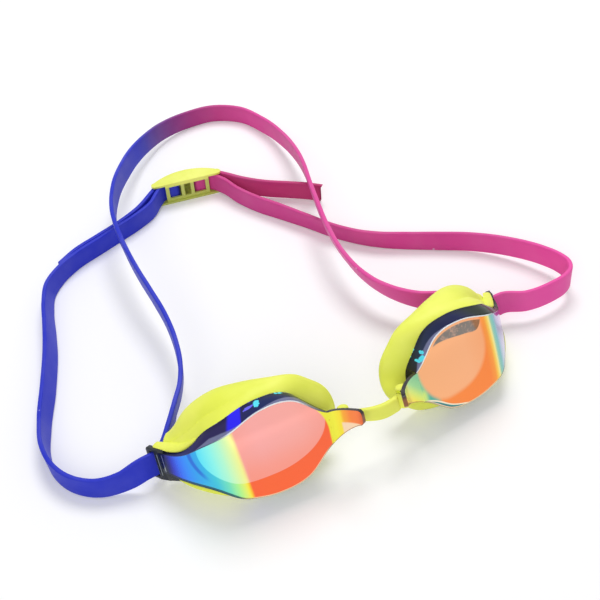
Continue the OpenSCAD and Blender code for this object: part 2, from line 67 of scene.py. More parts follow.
# %% [markdown]
# ## Camera
# The photo looks down at about 43 degrees from the front left, with the camera a little rolled. We set the
# direction from those angles, so that the numbers stay readable, and turn the camera with a matrix.

# %% Camera
AZIMUTH, ELEVATION, ROLL = (radians(a) for a in (-23.99, 43.01, -5.0))
AIM, AWAY = to_frame([6.17, 67.81, 12.0]), 0.42049
FOCAL_LENGTH, SENSOR = 66.47, 36
outward = cos(ELEVATION)
back = np.array([sin(AZIMUTH) * outward, -cos(AZIMUTH) * outward, sin(ELEVATION)])
level = np.cross(-back, (0, 0, 1))
level /= np.linalg.norm(level)
upright = np.cross(level, -back)
right = cos(ROLL) * level + sin(ROLL) * upright
top = cos(ROLL) * upright - sin(ROLL) * level
lens_data = bpy.data.cameras.new("camera")
lens_data.sensor_width = SENSOR
lens_data.lens = FOCAL_LENGTH
lens_data.clip_start = 0.01
camera = bpy.data.objects.new("camera", lens_data)
turn = Matrix([[right[i], top[i], back[i]] for i in range(3)]).to_4x4()
camera.matrix_world = Matrix.Translation(Vector(AIM + back * AWAY)) @ turn
scene.collection.objects.link(camera)
scene.camera = camera
print("camera at", [round(v, 3) for v in camera.matrix_world.translation])

# %% [markdown]
# ## A toolbox for finishes
# A finish is a node tree. Long chains of Math nodes are hard to read, so a small class wraps a socket and
# lets us write sums in code: each operator adds the Math node that it stands for. Every other node comes
# from one method, which takes the node's type, its settings and the values or links of its sockets.


# %% Sockets as numbers
def two_way(operation):
    """A method that puts a socket and another value into one Math node."""
    return lambda self, other: self.sum_node(operation, self, other)


class Wire:
    """One socket of a node tree, which can be added, multiplied and limited."""

    def __init__(self, nodes, socket):
        self.nodes = nodes
        self.socket = socket

    def sum_node(self, operation, *values):
        return self.nodes.node("ShaderNodeMath", {"operation": operation}, dict(enumerate(values)))

    __add__ = __radd__ = two_way("ADD")
    __sub__ = two_way("SUBTRACT")
    __mul__ = __rmul__ = two_way("MULTIPLY")
    __truediv__ = two_way("DIVIDE")
    __pow__ = two_way("POWER")
    at_most = two_way("MINIMUM")
    at_least = two_way("MAXIMUM")

    def __rsub__(self, other):
        return self.sum_node("SUBTRACT", other, self)

    def size(self):
        return self.sum_node("ABSOLUTE", self)

    def rise(self, low, high):
        """0 below low and 1 above high, smooth between; with low above high it falls."""
        if low > high:
            return 1 - self.rise(high, low)
        return self.nodes.node("ShaderNodeMapRange", {"interpolation_type": "SMOOTHSTEP"},
                               {"Value": self, "From Min": low, "From Max": high})


print("named sums:", [n for n in vars(Wire) if not n.startswith("__")])


# %% Nodes
def tint(*levels):
    """A colour as it is seen on a screen, 0 to 255, as the shader wants it."""
    shares = [c / 255 for c in levels]
    return tuple(c / 12.92 if c <= 0.04045 else ((c + 0.055) / 1.055) ** 2.4 for c in shares) + (1.0,)


class Nodes:
    """A node tree, with one method that makes its nodes."""

    def __init__(self, tree):
        self.tree = tree

    def node(self, kind, settings=(), sockets=(), out=0):
        made = self.tree.nodes.new(kind)
        for key, value in dict(settings).items():
            setattr(made, key, value)
        for key, value in dict(sockets).items():
            if isinstance(value, Wire):
                self.tree.links.new(value.socket, made.inputs[key])
            else:
                made.inputs[key].default_value = value
        return Wire(self, made.outputs[out])

    def seen(self):
        """1 for what the viewer sees, straight, mirrored or through glass; 0 for light on other things."""
        kinds = ("Camera", "Glossy", "Transmission")
        straight, mirrored, through = (self.node("ShaderNodeLightPath", out=f"Is {k} Ray") for k in kinds)
        return straight.at_least(mirrored).at_least(through)


print("screen grey 128 is", round(tint(128)[0], 3), "as light")


# %% Finishes
class Finish(Nodes):
    """A material with one Principled shader."""

    def __init__(self, name, **constants):
        self.material = bpy.data.materials.new(name)
        self.material.use_nodes = True
        super().__init__(self.material.node_tree)
        self.shader = next(n for n in self.tree.nodes if n.type == "BSDF_PRINCIPLED")
        for key, value in constants.items():
            self.shader.inputs[key.replace("_", " ")].default_value = value

    def own(self, name):
        """A number that the mesh carries at each of its points."""
        return self.node("ShaderNodeAttribute", {"attribute_name": name}, out="Fac")

    def place(self):
        return self.node("ShaderNodeTexCoord", out="Object")

    def noise(self, scale, detail=2.0, rough=0.5):
        return self.node("ShaderNodeTexNoise", {}, {
            "Vector": self.place(), "Scale": scale, "Detail": detail, "Roughness": rough})

    def blend(self, share, a, b):
        """From a to b by a share; both are sockets or colours on a screen."""
        a, b = (c if isinstance(c, Wire) else tint(*c) for c in (a, b))
        return self.node("ShaderNodeMix", {"data_type": "RGBA"}, {0: share, 6: a, 7: b}, out=2)

    def layered(self, colour, layers):
        """Patches over a colour, each with its own mask."""
        for mask, patch in layers:
            colour = self.blend(mask, colour, patch)
        return colour

    def ramp(self, value, low, high, stops):
        """Colours at given values between low and high: rows of value, red, green and blue."""
        made = self.node("ShaderNodeValToRGB", {}, {0: (value - low) / (high - low)})
        marks = made.socket.node.color_ramp.elements
        while len(marks) < len(stops):
            marks.new(0.5)
        for mark, (v, *colour) in zip(marks, stops):
            mark.position = (v - low) / (high - low)
            mark.color = tint(*colour)
        return made

    def bump(self, height, depth):
        return self.node("ShaderNodeBump", {}, {"Height": height, "Distance": depth, "Strength": 1.0})

    def feed(self, **sockets):
        for key, value in sockets.items():
            self.tree.links.new(value.socket, self.shader.inputs[key.replace("_", " ")])


print("a finish can use:", [n for n in vars(Finish) if not n.startswith("__")])

# %% [markdown]
# ## Table and light
# The real picture is a bright product shot: a white table, one broad soft lamp from above and behind, and
# white all round. The table is a pale diffuse sheet that glows a little where it is seen, straight or
# mirrored, so that it comes out white and still takes the shadow; the glow grows with distance, where the
# lamps no longer reach. The world is dimmer as a light than where it is seen.

# %% Table
TABLE_R, TABLE_DOWN = 3, 0.00005
TABLE_GLOW, FAR_GLOW = 0.16, 0.42
bpy.ops.mesh.primitive_circle_add(
    vertices=96, radius=TABLE_R, fill_type="NGON", location=(0, 0, -TABLE_DOWN))
table = bpy.context.object
table.name = "table"
pale = Finish("table_white")
pale.tree.nodes.remove(pale.shader)
matt = pale.node("ShaderNodeBsdfDiffuse", {}, {"Color": (0.9, 0.9, 0.91, 1)})
off = pale.node("ShaderNodeVectorMath", {"operation": "LENGTH"}, {0: pale.place()}, out="Value")
glow = pale.node("ShaderNodeEmission", {}, {
    "Strength": pale.seen() * (off.rise(0.2, 1.0) * FAR_GLOW + TABLE_GLOW)})
both = pale.node("ShaderNodeAddShader", {}, {0: matt, 1: glow})
pale.tree.links.new(both.socket, pale.tree.nodes["Material Output"].inputs["Surface"])
table.data.materials.append(pale.material)
print("table radius", TABLE_R, "m")

# %% Light
WORLD_LIGHT = 0.42
world = bpy.data.worlds.new("studio")
scene.world = world
world.use_nodes = True
sky = Nodes(world.node_tree)
background = sky.tree.nodes["Background"]
background.inputs["Color"].default_value = (1, 1, 1, 1)
strength = sky.seen() * (1 - WORLD_LIGHT) + WORLD_LIGHT
sky.tree.links.new(strength.socket, background.inputs["Strength"])


def lamp(name, place, aim, width, watts):
    data = bpy.data.lights.new(name, "AREA")
    data.shape = "DISK"
    data.size = width
    data.energy = watts
    made = bpy.data.objects.new(name, data)
    made.location = place
    made.rotation_mode = "QUATERNION"
    made.rotation_quaternion = (Vector(aim) - Vector(place)).to_track_quat("-Z", "Y")
    scene.collection.objects.link(made)


lamp("soft_key", place=(0.25, 0.35, 0.85), aim=(0, 0, 0), width=0.5, watts=4.6)
lamp("front_fill", place=(-0.5, -0.7, 0.6), aim=(0, -0.05, 0), width=0.7, watts=2.8)

# %% [markdown]
# ## Meshes from grids
# Most pieces are smooth skins: rows of points with faces between them. One helper turns such grids into a
# closed mesh, welds their shared edges and keeps numbers, such as the distance along the lens, on the
# points for the finishes.


# %% Faces
def ring_faces(rings, around, closed=True):
    """Four-sided faces between rows of points that each go once round."""
    i, k = np.meshgrid(np.arange(rings - 1), np.arange(around if closed else around - 1), indexing="ij")
    near, m = i * around, (k + 1) % around
    far = near + around
    return np.stack([near + k, near + m, far + m, far + k], -1).reshape(-1, 4)


def tube_faces(rings, around):
    """Faces of a tube, with a lid at each end."""
    last = (rings - 1) * around
    return ring_faces(rings, around).tolist() + [list(range(around)), list(range(last, last + around))]


print("a tube of 3 rings of 8 points has", len(tube_faces(3, 8)), "faces")

# %% Skins
WELD, SHARP = 2e-6, 35


class Skin:
    """Grids of points that become one closed mesh; with a side, place_eyecup puts them on the table."""

    def __init__(self, *numbers, side=0):
        self.points, self.faces, self.paint = [], [], []
        self.numbers = {n: [] for n in numbers}
        self.count, self.side = 0, side

    def add(self, points, faces, paint=0, **numbers):
        points = np.asarray(points, float).reshape(-1, 3)
        self.points.append(place_eyecup(points, self.side) if self.side else points)
        self.faces += [[int(v) + self.count for v in f] for f in faces]
        self.paint += [paint] * len(faces)
        for name, rows in self.numbers.items():
            rows.append(np.broadcast_to(np.asarray(numbers.get(name, 0.0), float).ravel(), (len(points),)))
        self.count += len(points)

    def tube(self, rings, **numbers):
        self.add(rings, tube_faces(*np.shape(rings)[:2]), **numbers)

    def make(self, name, finishes, sharp=SHARP, weld=WELD):
        mesh = bpy.data.meshes.new(name)
        mesh.from_pydata(to_frame(np.concatenate(self.points)).tolist(), [], self.faces)
        for number, rows in self.numbers.items():
            carried = mesh.attributes.new(number, "FLOAT", "POINT")
            carried.data.foreach_set("value", np.concatenate(rows).astype(np.float32))
        for finish in finishes:
            mesh.materials.append(finish.material)
        mesh.polygons.foreach_set("material_index", self.paint)
        work = bmesh.new()
        work.from_mesh(mesh)
        bmesh.ops.remove_doubles(work, verts=work.verts, dist=weld)
        bmesh.ops.dissolve_degenerate(work, edges=work.edges, dist=weld / 4)
        bmesh.ops.recalc_face_normals(work, faces=work.faces)
        open_edges = sum(not e.is_manifold for e in work.edges)
        work.to_mesh(mesh)
        work.free()
        smooth_but_sharp(mesh, sharp)
        made = bpy.data.objects.new(name, mesh)
        scene.collection.objects.link(made)
        print(name, len(mesh.vertices), "points,", open_edges, "open edges")
        return made


def smooth_but_sharp(mesh, degrees):
    """Smooth shading, apart from edges that turn by more than some degrees."""
    mesh.polygons.foreach_set("use_smooth", [True] * len(mesh.polygons))
    mesh.set_sharp_from_angle(angle=radians(degrees))


def faces_of(work):
    """Points and faces of a working mesh, which is then given up."""
    work.verts.index_update()
    points = np.array([v.co for v in work.verts])
    faces = [[v.index for v in f.verts] for f in work.faces]
    work.free()
    return points, faces


print("points closer than", WELD / MM, "mm are welded")

# %% [markdown]
# ## Shape of a lens
# A lens is a flat front facet, a crease, and a temple facet that bends back to the strap slot. Its plan is
# drawn by walking along it with a changing heading, and its outline is a share of the full height at seven
# stations. The same rules made the measured solid; here they run on a much finer grid.

# %% Lens measures
LENS_RISE, LENS_DROP, FRONT_W, TEMPLE_L = 13.6, 16.4, 34.0, 31.0
CREASE_TURN, TEMPLE_TURN, LENS_WALL, WALL_DEPTH = 37.0, 24.0, 1.4, 8.0
HALF_GAP, TILT, LENS_H = 17.0, 22.0, 22.6
LENGTH = FRONT_W + TEMPLE_L
FRONT_BOW, CREASE_L, UPRIGHT_R, TAIL_DEPTH, EDGE_BEVEL = 4.5, 9.0, 160.0, 5.0, 0.3
BORE_END, SEAT_START, SEAT_END = FRONT_W + 12, 0.4, LENGTH - 6
YAW = {-1: 2.0, 1: 7.0}
# Shares of the height above and below the middle, from the nose to the temple
OUTLINES = {
    "front": ([0.30, 0.93, 1.00, 0.74, 0.42, 0.10, 0.05], [0.45, 0.95, 1.05, 0.91, 0.66, 0.53, 0.42]),
    "seat": ([0.24, 0.94, 1.09, 0.99, 0.70, 0.20, 0.04], [0.40, 0.96, 1.03, 0.98, 0.82, 0.60, 0.46]),
    "bore": ([0.16, 0.78, 0.95, 0.98, 0.85, 0.54, 0.20], [0.30, 0.80, 0.92, 0.93, 0.89, 0.78, 0.52]),
    "rim": ([0.46, 0.88, 1.01, 1.09, 1.07, 0.81, 0.30], [0.50, 0.87, 0.92, 0.89, 0.84, 0.73, 0.41]),
}
print("lens", LENGTH, "mm along its front")


# %% Lens rules
def mix(a, b, f):
    return a + (b - a) * f


def ease(x):
    f = np.clip(x, 0, 1)
    return f * f * (3 - 2 * f)


def curve(values, x):
    """Smooth curve through evenly spaced values, x from 0 to 1."""
    values = np.array(values, float)
    m = len(values) - 1
    q = np.clip(x, 0, 1) * m
    i = np.minimum(np.floor(q).astype(int), m - 1)
    f = q - i
    a, b, c, d = values[np.maximum(i - 1, 0)], values[i], values[i + 1], values[np.minimum(i + 2, m)]
    return b + f * ((c - a) / 2 + f * (a - 2.5 * b + 2 * c - d / 2 + f * ((d - a) / 2 + 1.5 * (b - c))))


def heading(s):
    """Direction of the plan in degrees, at a distance from the nose end."""
    past = s - FRONT_W
    return (FRONT_BOW * np.clip(s / FRONT_W - 0.5, -0.5, 0.5) + CREASE_TURN * ease(past / CREASE_L + 0.5)
            + TEMPLE_TURN * np.clip(past / TEMPLE_L, 0, 1))


STEP, CROWDING = 0.5, 0.07
WALK = np.arange(0, LENGTH + 1.01, STEP)
way = np.radians(heading(WALK[:-1] + STEP / 2))
PLAN = np.concatenate([[[0, 0]], np.cumsum(STEP * np.stack([np.cos(way), np.sin(way)], 1), 0)])


def plan_at(s):
    return np.interp(s, WALK, PLAN[:, 0]), np.interp(s, WALK, PLAN[:, 1])


def spread(f):
    """Even shares, set closer together at both ends of the lens."""
    return f - CROWDING * np.sin(2 * np.pi * f)


def height(kind, f, g, rise=LENS_RISE, drop=LENS_DROP):
    high, low = OUTLINES[kind]
    return mix(-drop * curve(low, f), rise * curve(high, f), g)


def upright_bow(v):
    """How far the front falls back at a height."""
    return v * v / (2 * UPRIGHT_R)


def place_eyecup(p, side):
    """From a lens's own place to the table: tilted back, turned, set apart and lifted."""
    t, a = radians(TILT), radians(YAW[side])
    x, y, z = p[..., 0], p[..., 1], p[..., 2]
    y, z = y * cos(t) + z * sin(t), z * cos(t) - y * sin(t)
    x, y = x * cos(a) - y * sin(a), x * sin(a) + y * cos(a)
    return np.stack([side * (x + HALF_GAP), y, z + LENS_H], -1)


def lens_up(p, side):
    """Which way a lens's upright points on the table."""
    return place_eyecup(p + (0, 0, 1), side) - place_eyecup(p, side)


print("temple end", np.round(plan_at(LENGTH), 1), "mm across and back from the nose end")

# %% Surfaces of a lens
RIM_DEPTH, RIM_NOSE, RIM_FLARE, RIM_SWEEP, RIM_POWER, LIP_T = 13.8, 4.7, 1.8, 13.4, 1.7, 2.0
RIM_END = plan_at(SEAT_END)[0] - 2.6
SEAT_BULGE, RIM_BULGE = 0.8, 2.2


def front_at(f, g):
    v = height("front", spread(f), g)
    x, y = plan_at(spread(f) * LENGTH)
    return np.stack([x, y + upright_bow(v), v], -1)


def inner_at(f, g):
    """Back of the front's wall, inside the bore."""
    s = mix(LENS_WALL * 1.5, BORE_END - LENS_WALL, spread(f))
    v = height("front", s / LENGTH, g) + LENS_WALL * 1.2 * (1 - 2 * g)
    x, y = plan_at(s)
    h = np.radians(heading(s))
    return np.stack([x - LENS_WALL * np.sin(h), y + LENS_WALL * np.cos(h) + upright_bow(v), v], -1)


def round_end(f, g, out):
    """Bulge of the two ends, outwards along the lens."""
    return out * (1 - (2 * g - 1) ** 2) * np.where(np.abs(2 * f - 1) > 0.999, 2 * f - 1, 0)


def edge_at(kind, f, g):
    """Back edge of the lens: the seal's seat outside, the bore inside."""
    start, end = (SEAT_START, SEAT_END) if kind == "seat" else (SEAT_START + LENS_WALL, BORE_END)
    s = mix(start, end, spread(f))
    x, y = plan_at(s)
    depth = mix(WALL_DEPTH, TAIL_DEPTH, ease(s / LENGTH))
    return np.stack([x + round_end(f, g, SEAT_BULGE), y + depth, height(kind, spread(f), g)], -1)


def rim_at(f, g):
    """Edge of the seal that touches the face."""
    u = mix(-RIM_NOSE, RIM_END, spread(f)) + round_end(f, g, RIM_BULGE)
    y = RIM_DEPTH + RIM_SWEEP * (np.maximum(u, 0) / RIM_END) ** RIM_POWER
    return np.stack([u, y, height("rim", spread(f), g, LENS_RISE + RIM_FLARE, LENS_DROP + RIM_FLARE)], -1)


print("front's middle", np.round(front_at(0.5, 0.5), 1), "mm from the nose end; rim", RIM_DEPTH, "mm back")

# %% Rings of a lens
COLS, ROWS = 112, 24
SEAT_ROUNDING, RIM_ROUNDING = 64, 96
# Shares along and across a lens, once round its edge from the top of the nose end
c, r = np.arange(COLS + 1) / COLS, np.arange(1, ROWS) / ROWS
ALONG = np.concatenate([c, np.ones(ROWS - 1), c[::-1], np.zeros(ROWS - 1)])
ACROSS = np.concatenate([np.ones(COLS + 1), 1 - r, np.zeros(COLS + 1), r])
RING_S = spread(ALONG) * LENGTH
EYE_MID = np.array([plan_at(BORE_END)[0] / 2, 0, (LENS_RISE - LENS_DROP) / 2])
# How much of a push is left towards the temple end, and how much of the nose end is rounded
FADE = 1 - 0.6 * ease((ALONG - 0.7) / 0.26)
NOSE_SHARE = 1 - ease((ALONG - 0.06) / 0.14)


def rounded(ring, times):
    """Corners of the nose end, rounded by taking the mean of neighbours many times."""
    for _ in range(times):
        mean = (np.roll(ring, 1, 0) + 2 * ring + np.roll(ring, -1, 0)) / 4
        ring = mix(ring, mean, NOSE_SHARE[:, None])
    return ring


def between(a, b, f, out=0.0, rear=0.0):
    """Ring between two rings, pushed outwards and back; the push dies away at the temple end."""
    p = mix(a, b, f)
    d = (p - EYE_MID) * (1, 0, 1.6)
    d /= np.linalg.norm(d, axis=1)[:, None]
    return p + out * FADE[:, None] * d + np.array([0, rear, 0]) * FADE[:, None]


FRONT, BORE, INNER = front_at(ALONG, ACROSS), edge_at("bore", ALONG, ACROSS), inner_at(ALONG, ACROSS)
SEAT = rounded(edge_at("seat", ALONG, ACROSS), SEAT_ROUNDING)
RIM = rounded(rim_at(ALONG, ACROSS), RIM_ROUNDING)
print("rings of", len(ALONG), "points")

# %% [markdown]
# ## Mirror finish
# The lens carries a vapour coating whose colour changes over it: salmon and orange on the front, a yellow
# line at the crease, then green, cyan and blue to the temple. It is painted over the lens's own measures,
# the distance along it and the height on it, so it stays in place from every side. The clear core in the
# middle of the lens is paler than its thick border, which gives the oval that shows in both fronts. Smaller
# patches lie under the core, on the border alone, or over both.
# Some of these are painted light: a reflection on the right lens, and highlight lines on both lenses.

# %% Mirror colours
# Rows of a distance along the lens and the colour there
NOSE_YELLOW = (244, 240, 60)
# Lower edge line: cream painted highlight from the nose to the crease, then the edge's own dark teal
LOW_LINE = [
    (0, 150, 132, 76), (5, 246, 226, 190), (30, 250, 224, 180), (33, 196, 186, 96), (35.5, 30, 84, 92),
    (52, 24, 62, 84), (60, 40, 46, 60)]
LEFT_BORDER = [
    (0, 255, 104, 58), (26, 255, 106, 54), (30.9, 255, 104, 56), (31.5, 255, 196, 50),
    (32.1, 255, 240, 70), (33, 232, 248, 110), (35, 178, 250, 146), (38, 116, 230, 192),
    (42, 62, 206, 222), (46, 44, 182, 236), (50, 42, 160, 246), (53, 44, 140, 255), (56, 44, 106, 246),
    (58.5, 42, 62, 212), (60.5, 42, 44, 140), (61.8, 42, 52, 92), (62.8, 44, 58, 66)]
LEFT_CORE = [
    (0, 255, 164, 150), (10, 255, 174, 164), (24, 255, 174, 168), (30.8, 255, 168, 158),
    (31.5, 255, 224, 150), (32.1, 250, 251, 150), (34, 226, 254, 176), (37, 184, 254, 212),
    (41, 140, 250, 240), (45, 100, 236, 252), (48, 74, 214, 250)]
RIGHT_BORDER = [
    (0, 255, 150, 70), (8, 255, 142, 64), (28, 255, 138, 58), (30.2, 255, 160, 60), (31.4, 255, 210, 84),
    (32.3, 250, 238, 150), (33.2, 150, 206, 176), (34.8, 100, 186, 184), (37.5, 130, 166, 204),
    (41, 156, 156, 212), (50, 128, 128, 200), (58, 84, 84, 170), (62, 48, 48, 104)]
RIGHT_CORE = [(0, 255, 182, 126), (20, 255, 182, 130), (30, 255, 172, 116)]
print("left border from", LEFT_BORDER[0][1:], "to", LEFT_BORDER[-1][1:])

# %% Mirror coat
SLANT_FROM, OVAL_POWER = -13, 2.7


def mirror_coat(name, oval, slant, border, core, soft, layers):
    """Border and core colours along the lens; oval is its middle, two half widths and a half height.

    slant shifts the colours: a fixed distance, and more the higher on the lens."""
    coat = Finish(name, Metallic=0.7, Coat_Weight=0.25, Coat_Roughness=0.04)
    s, v, top, low = (coat.own(n) for n in ("lens_s", "lens_v", "from_top", "from_low"))
    (s0, v0), nose_half, temple_half, half = oval
    d = s - s0
    reach = (d.at_most(0) / nose_half) ** 2 + (d.at_least(0) / temple_half) ** OVAL_POWER
    reach = reach + ((v - v0).at_most(0) / half) ** 2
    along = s - (v - SLANT_FROM) * slant[1] - slant[0]
    under, over = layers(s, v, top, low, reach)
    colour = coat.layered(coat.ramp(along, 0, LENGTH, border), under)
    colour = coat.blend(reach.rise(1 + soft, 1 - soft), colour, coat.ramp(along, 0, LENGTH, core))
    colour = coat.layered(colour, over)
    # A line along the lower edge, broader past the crease: cream painted highlight under the front, then
    # dark teal
    edge_line = (low - s.rise(33, 38) * 0.45).rise(0.4, 0.25)
    colour = coat.blend(edge_line * 0.9, colour, coat.ramp(s, 0, LENGTH, LOW_LINE))
    coat.feed(Base_Color=colour, Roughness=coat.noise(900, 3) * 0.06 + 0.07)
    return coat


print("core oval: power 2 to the nose,", OVAL_POWER, "to the temple")


# %% Mirror patches
# Patches, as masks and colours, under and over the core. All measures are millimetres: s from the nose end,
# v up from the middle, top and low from the two edges; reach is 1 on the oval and less inside it
def left_layers(s, v, top, low, reach):
    """Cyan below and a blue stroke round the core; deeper salmon, yellow nose and a painted highlight line
    over it.
    """
    below = s.rise(39, 45) * (v + s * 0.05).rise(-4.6, -7.5)
    stroke = reach.rise(1.24, 1.36) * reach.rise(1.6, 1.46) * s.rise(44, 48)
    deep = v.rise(3, -9) * s.rise(31.6, 30) * reach.rise(1, 0.98)
    nose = (s - ((v + 2).at_least(0) / 5.2) ** 2).rise(1.2, 0.5)
    # A painted highlight: a thin pale line up the temple end, where light catches the moulding
    guide_highlight = (s - 63.2).size().rise(0.26, 0.1) * v.rise(-9, -8.2) * v.rise(0.6, -0.6)
    return ([(below * 0.6, (58, 190, 226)), (stroke * 0.8, (28, 96, 214))],
            [(deep * 0.6, (255, 146, 118)), (nose, NOSE_YELLOW), (guide_highlight * 0.8, (210, 216, 222))])


def right_layers(s, v, top, low, reach):
    """A green nose end; over the core a grey painted reflection with a brown end, and a teal band with a
    pale painted highlight line.
    """
    nose = s.rise(7.5, 4.5)
    teal = nose * v.rise(-1, -5) * s.rise(0.3, 3)
    lime = s.rise(3, 0.3) * v.rise(-2, -5)
    # A painted reflection near the top of the lens: a mottled grey patch with a brown end
    off = s - 22.5
    reflection_leaf = 1 - (off.at_most(0) / 14.5) ** 2 - (off.at_least(0) / 7) ** 4
    reflection_mask = top.rise(0.7, 1.0) * (reflection_leaf * 4.4 + 0.8 - top).rise(0, 0.35) * reflection_leaf.rise(0, 0.04)
    brown = reflection_mask * (s - top * 0.3).rise(24.5, 26.5)
    coat = s.nodes
    cloud = coat.noise(330, 3, 0.6) + coat.noise(1300, 2, 0.5) * 0.4
    grey = coat.blend((cloud + top * 0.035).rise(0.62, 0.86), (176, 150, 138), (98, 112, 114))
    width = (s - 0.5) * (18 - s) / 58
    band = (width - low).rise(0, 0.2)
    dark = band * (width * 0.4 - low).rise(-0.2, 0.2)
    # A pale painted highlight line along the top of the teal band by the lower edge
    line = (low - width).size().rise(0.32, 0.18) * s.rise(0.5, 1.5) * s.rise(18, 16)
    return ([(nose, (140, 206, 156)), (teal, (70, 178, 158)), (lime, (216, 240, 124))],
            [(reflection_mask * 0.88, grey), (brown * 0.8, (156, 98, 42)), (band, (56, 140, 142)),
             (dark, (30, 86, 104)), (line, (250, 236, 206))])


left_coat = mirror_coat(
    "left_mirror_coat", oval=((22, 3), 20.5, 25, 12.4), slant=(-0.4, 0.07),
    border=LEFT_BORDER, core=LEFT_CORE, soft=0.02, layers=left_layers)
right_coat = mirror_coat(
    "right_mirror_coat", oval=((11, 4), 10.6, 18.2, 15), slant=(0.7, 0.0),
    border=RIGHT_BORDER, core=RIGHT_CORE, soft=0.15, layers=right_layers)
print("mirror coats:", left_coat.material.name, right_coat.material.name)

# %% [markdown]
# ## Side wall and edges
# Behind the front runs the side wall, dark smoke-blue and glossy, painted darker as shading towards the
# seal, with a bright blue painted reflection of the coating near the left crease. A polished chamfer goes
# round the front's edge; the white line along its top and the cream line along its lower edge are painted
# highlights.
# The bright cyan sparks are painted glints, where light comes out of the clear plastic; noise breaks up
# their outline.

# %% Wall and edge finishes
GLINT_CYAN, GLINT_VIOLET = (92, 232, 255), (112, 108, 250)
LEFT_WALL = [
    (0, 40, 42, 52), (8, 26, 34, 78), (20, 24, 40, 96), (34, 50, 44, 92), (46, 44, 38, 92),
    (54, 34, 38, 112), (60, 34, 36, 82), (64, 42, 44, 56)]
RIGHT_WALL = [
    (0, 34, 34, 40), (6, 44, 56, 84), (16, 24, 30, 72), (23, 26, 34, 80), (30, 40, 52, 48),
    (40, 50, 60, 48), (50, 80, 92, 76), (64, 52, 54, 56)]
# Colours of the chamfer round the front. Below, a cream painted highlight runs to the crease and dark teal
# follows; above, a white painted highlight runs to the crease and darker tones follow.
LOW_EDGE = [
    (0, 110, 104, 74), (4, 170, 158, 120), (26, 214, 182, 148), (32, 180, 156, 96), (35, 30, 78, 90),
    (58, 24, 50, 72), (64, 46, 50, 60)]
HIGH_EDGE = [
    (9, 236, 240, 242), (33, 230, 236, 240), (38, 110, 128, 150), (44, 44, 56, 104), (62, 34, 36, 54)]


def wall_finish(name, base, painted_glints, crescent, blue=None):
    """Wall colours along the lens, painted darker towards the seal as shading, with a bright blue painted
    reflection between two places.

    The painted glints have a place, a depth, half a width, half a length and a colour. crescent says how
    deep the pale part by the front goes, as a grey level."""
    wall = Finish(name, Coat_Weight=0.05, Coat_Roughness=0.05, Specular_IOR_Level=0.06)
    s, t = wall.own("lens_s"), wall.own("lens_t")
    # Painted shade: the wall gets darker deeper in, towards the seal
    colour = wall.blend(t.rise(0.55, 1.0) * 0.5, wall.ramp(s, 0, LENGTH, base), (16, 18, 40))
    # A bright blue painted reflection of the coating, between the two places
    if blue:
        low, high = blue
        patch = s.rise(low - 0.4, low + 0.4) * s.rise(high + 1.2, high - 0.4)
        colour = wall.blend(patch, colour, (50, 42, 250))
    depth = wall.ramp(s, 0, LENGTH, [(v, c, c, c) for v, c in crescent])
    colour = wall.blend((depth - t).rise(-0.04, 0.06) * 0.85, colour, (126, 130, 168))
    ragged = wall.noise(800, 2, 0.6) * 2.4 - 1.2
    # Painted glints: small bright cyan and violet spots, made ragged by noise
    for place, deep, width, length, glint in painted_glints:
        spot = (((s - place) / width) ** 2 + ((t - deep) / length) ** 2 + ragged).rise(0.8, 0.5)
        colour = wall.blend(spot, colour, glint)
    wall.feed(Base_Color=colour, Roughness=wall.noise(700, 2) * 0.1 + 0.14)
    return wall


def edge_highlight_finish(name, nose_tones):
    edge = Finish(name, Coat_Weight=0.3, Coat_Roughness=0.03, Specular_IOR_Level=0.3)
    s, v = edge.own("lens_s"), edge.own("lens_v")
    low, high = (edge.ramp(s, 0, LENGTH, stops) for stops in (LOW_EDGE, nose_tones + HIGH_EDGE))
    edge.feed(Base_Color=edge.blend(v.rise(-2, 0), low, high), Roughness=edge.noise(500) * 0.1 + 0.08)
    return edge


left_wall = wall_finish(
    "left_side_wall", LEFT_WALL, blue=(28.6, 33.4),
    painted_glints=[(25.4, 0.62, 2.6, 0.12, GLINT_VIOLET), (22.4, 0.6, 1.5, 0.3, GLINT_CYAN), (13.6, 0.92, 1.9, 0.16, GLINT_CYAN)],
    crescent=[(0, 0), (8, 190), (14, 150), (22, 80), (29, 60), (36, 140), (41, 155), (45, 100), (47.5, 0)])
right_wall = wall_finish(
    "right_side_wall", RIGHT_WALL,
    painted_glints=[(4.3, 0.16, 0.9, 0.26, GLINT_CYAN), (5.7, 0.36, 0.5, 0.32, GLINT_CYAN), (3.4, 0.42, 0.4, 0.3, GLINT_CYAN)],
    crescent=[(0, 0), (3, 160), (8, 150), (14, 90), (22, 30), (30, 0)])
# The right chamfer's nose end carries the white painted highlight as well; the left one's stays dark
left_edge = edge_highlight_finish("left_edge_highlight", [(0, 40, 38, 44), (5, 120, 126, 130)])
right_edge = edge_highlight_finish("right_edge_highlight", [(0, 206, 206, 200), (5, 236, 238, 238)])
smoke_inside = Finish("smoke_inside", Coat_Weight=0.3)
hazy = smoke_inside.blend(smoke_inside.noise(60, 3), (58, 52, 74), (84, 74, 92))
smoke_inside.feed(Base_Color=hazy, Roughness=smoke_inside.noise(400) * 0.1 + 0.14)
print("wall finishes:", left_wall.material.name, right_wall.material.name)

# %% Lens shells
# Rows of the wall: share of the way from front to seat, and push outwards; the chamfer comes first
WALL_ROWS = [
    (0, 0), (0.008, 0.1), (0.02, 0.22), (0.035, EDGE_BEVEL), (0.2, EDGE_BEVEL), (0.35, EDGE_BEVEL),
    (0.5, EDGE_BEVEL), (0.65, 0.25), (0.8, 0.14), (0.92, 0.05), (1, 0)]
CHAMFER = 3


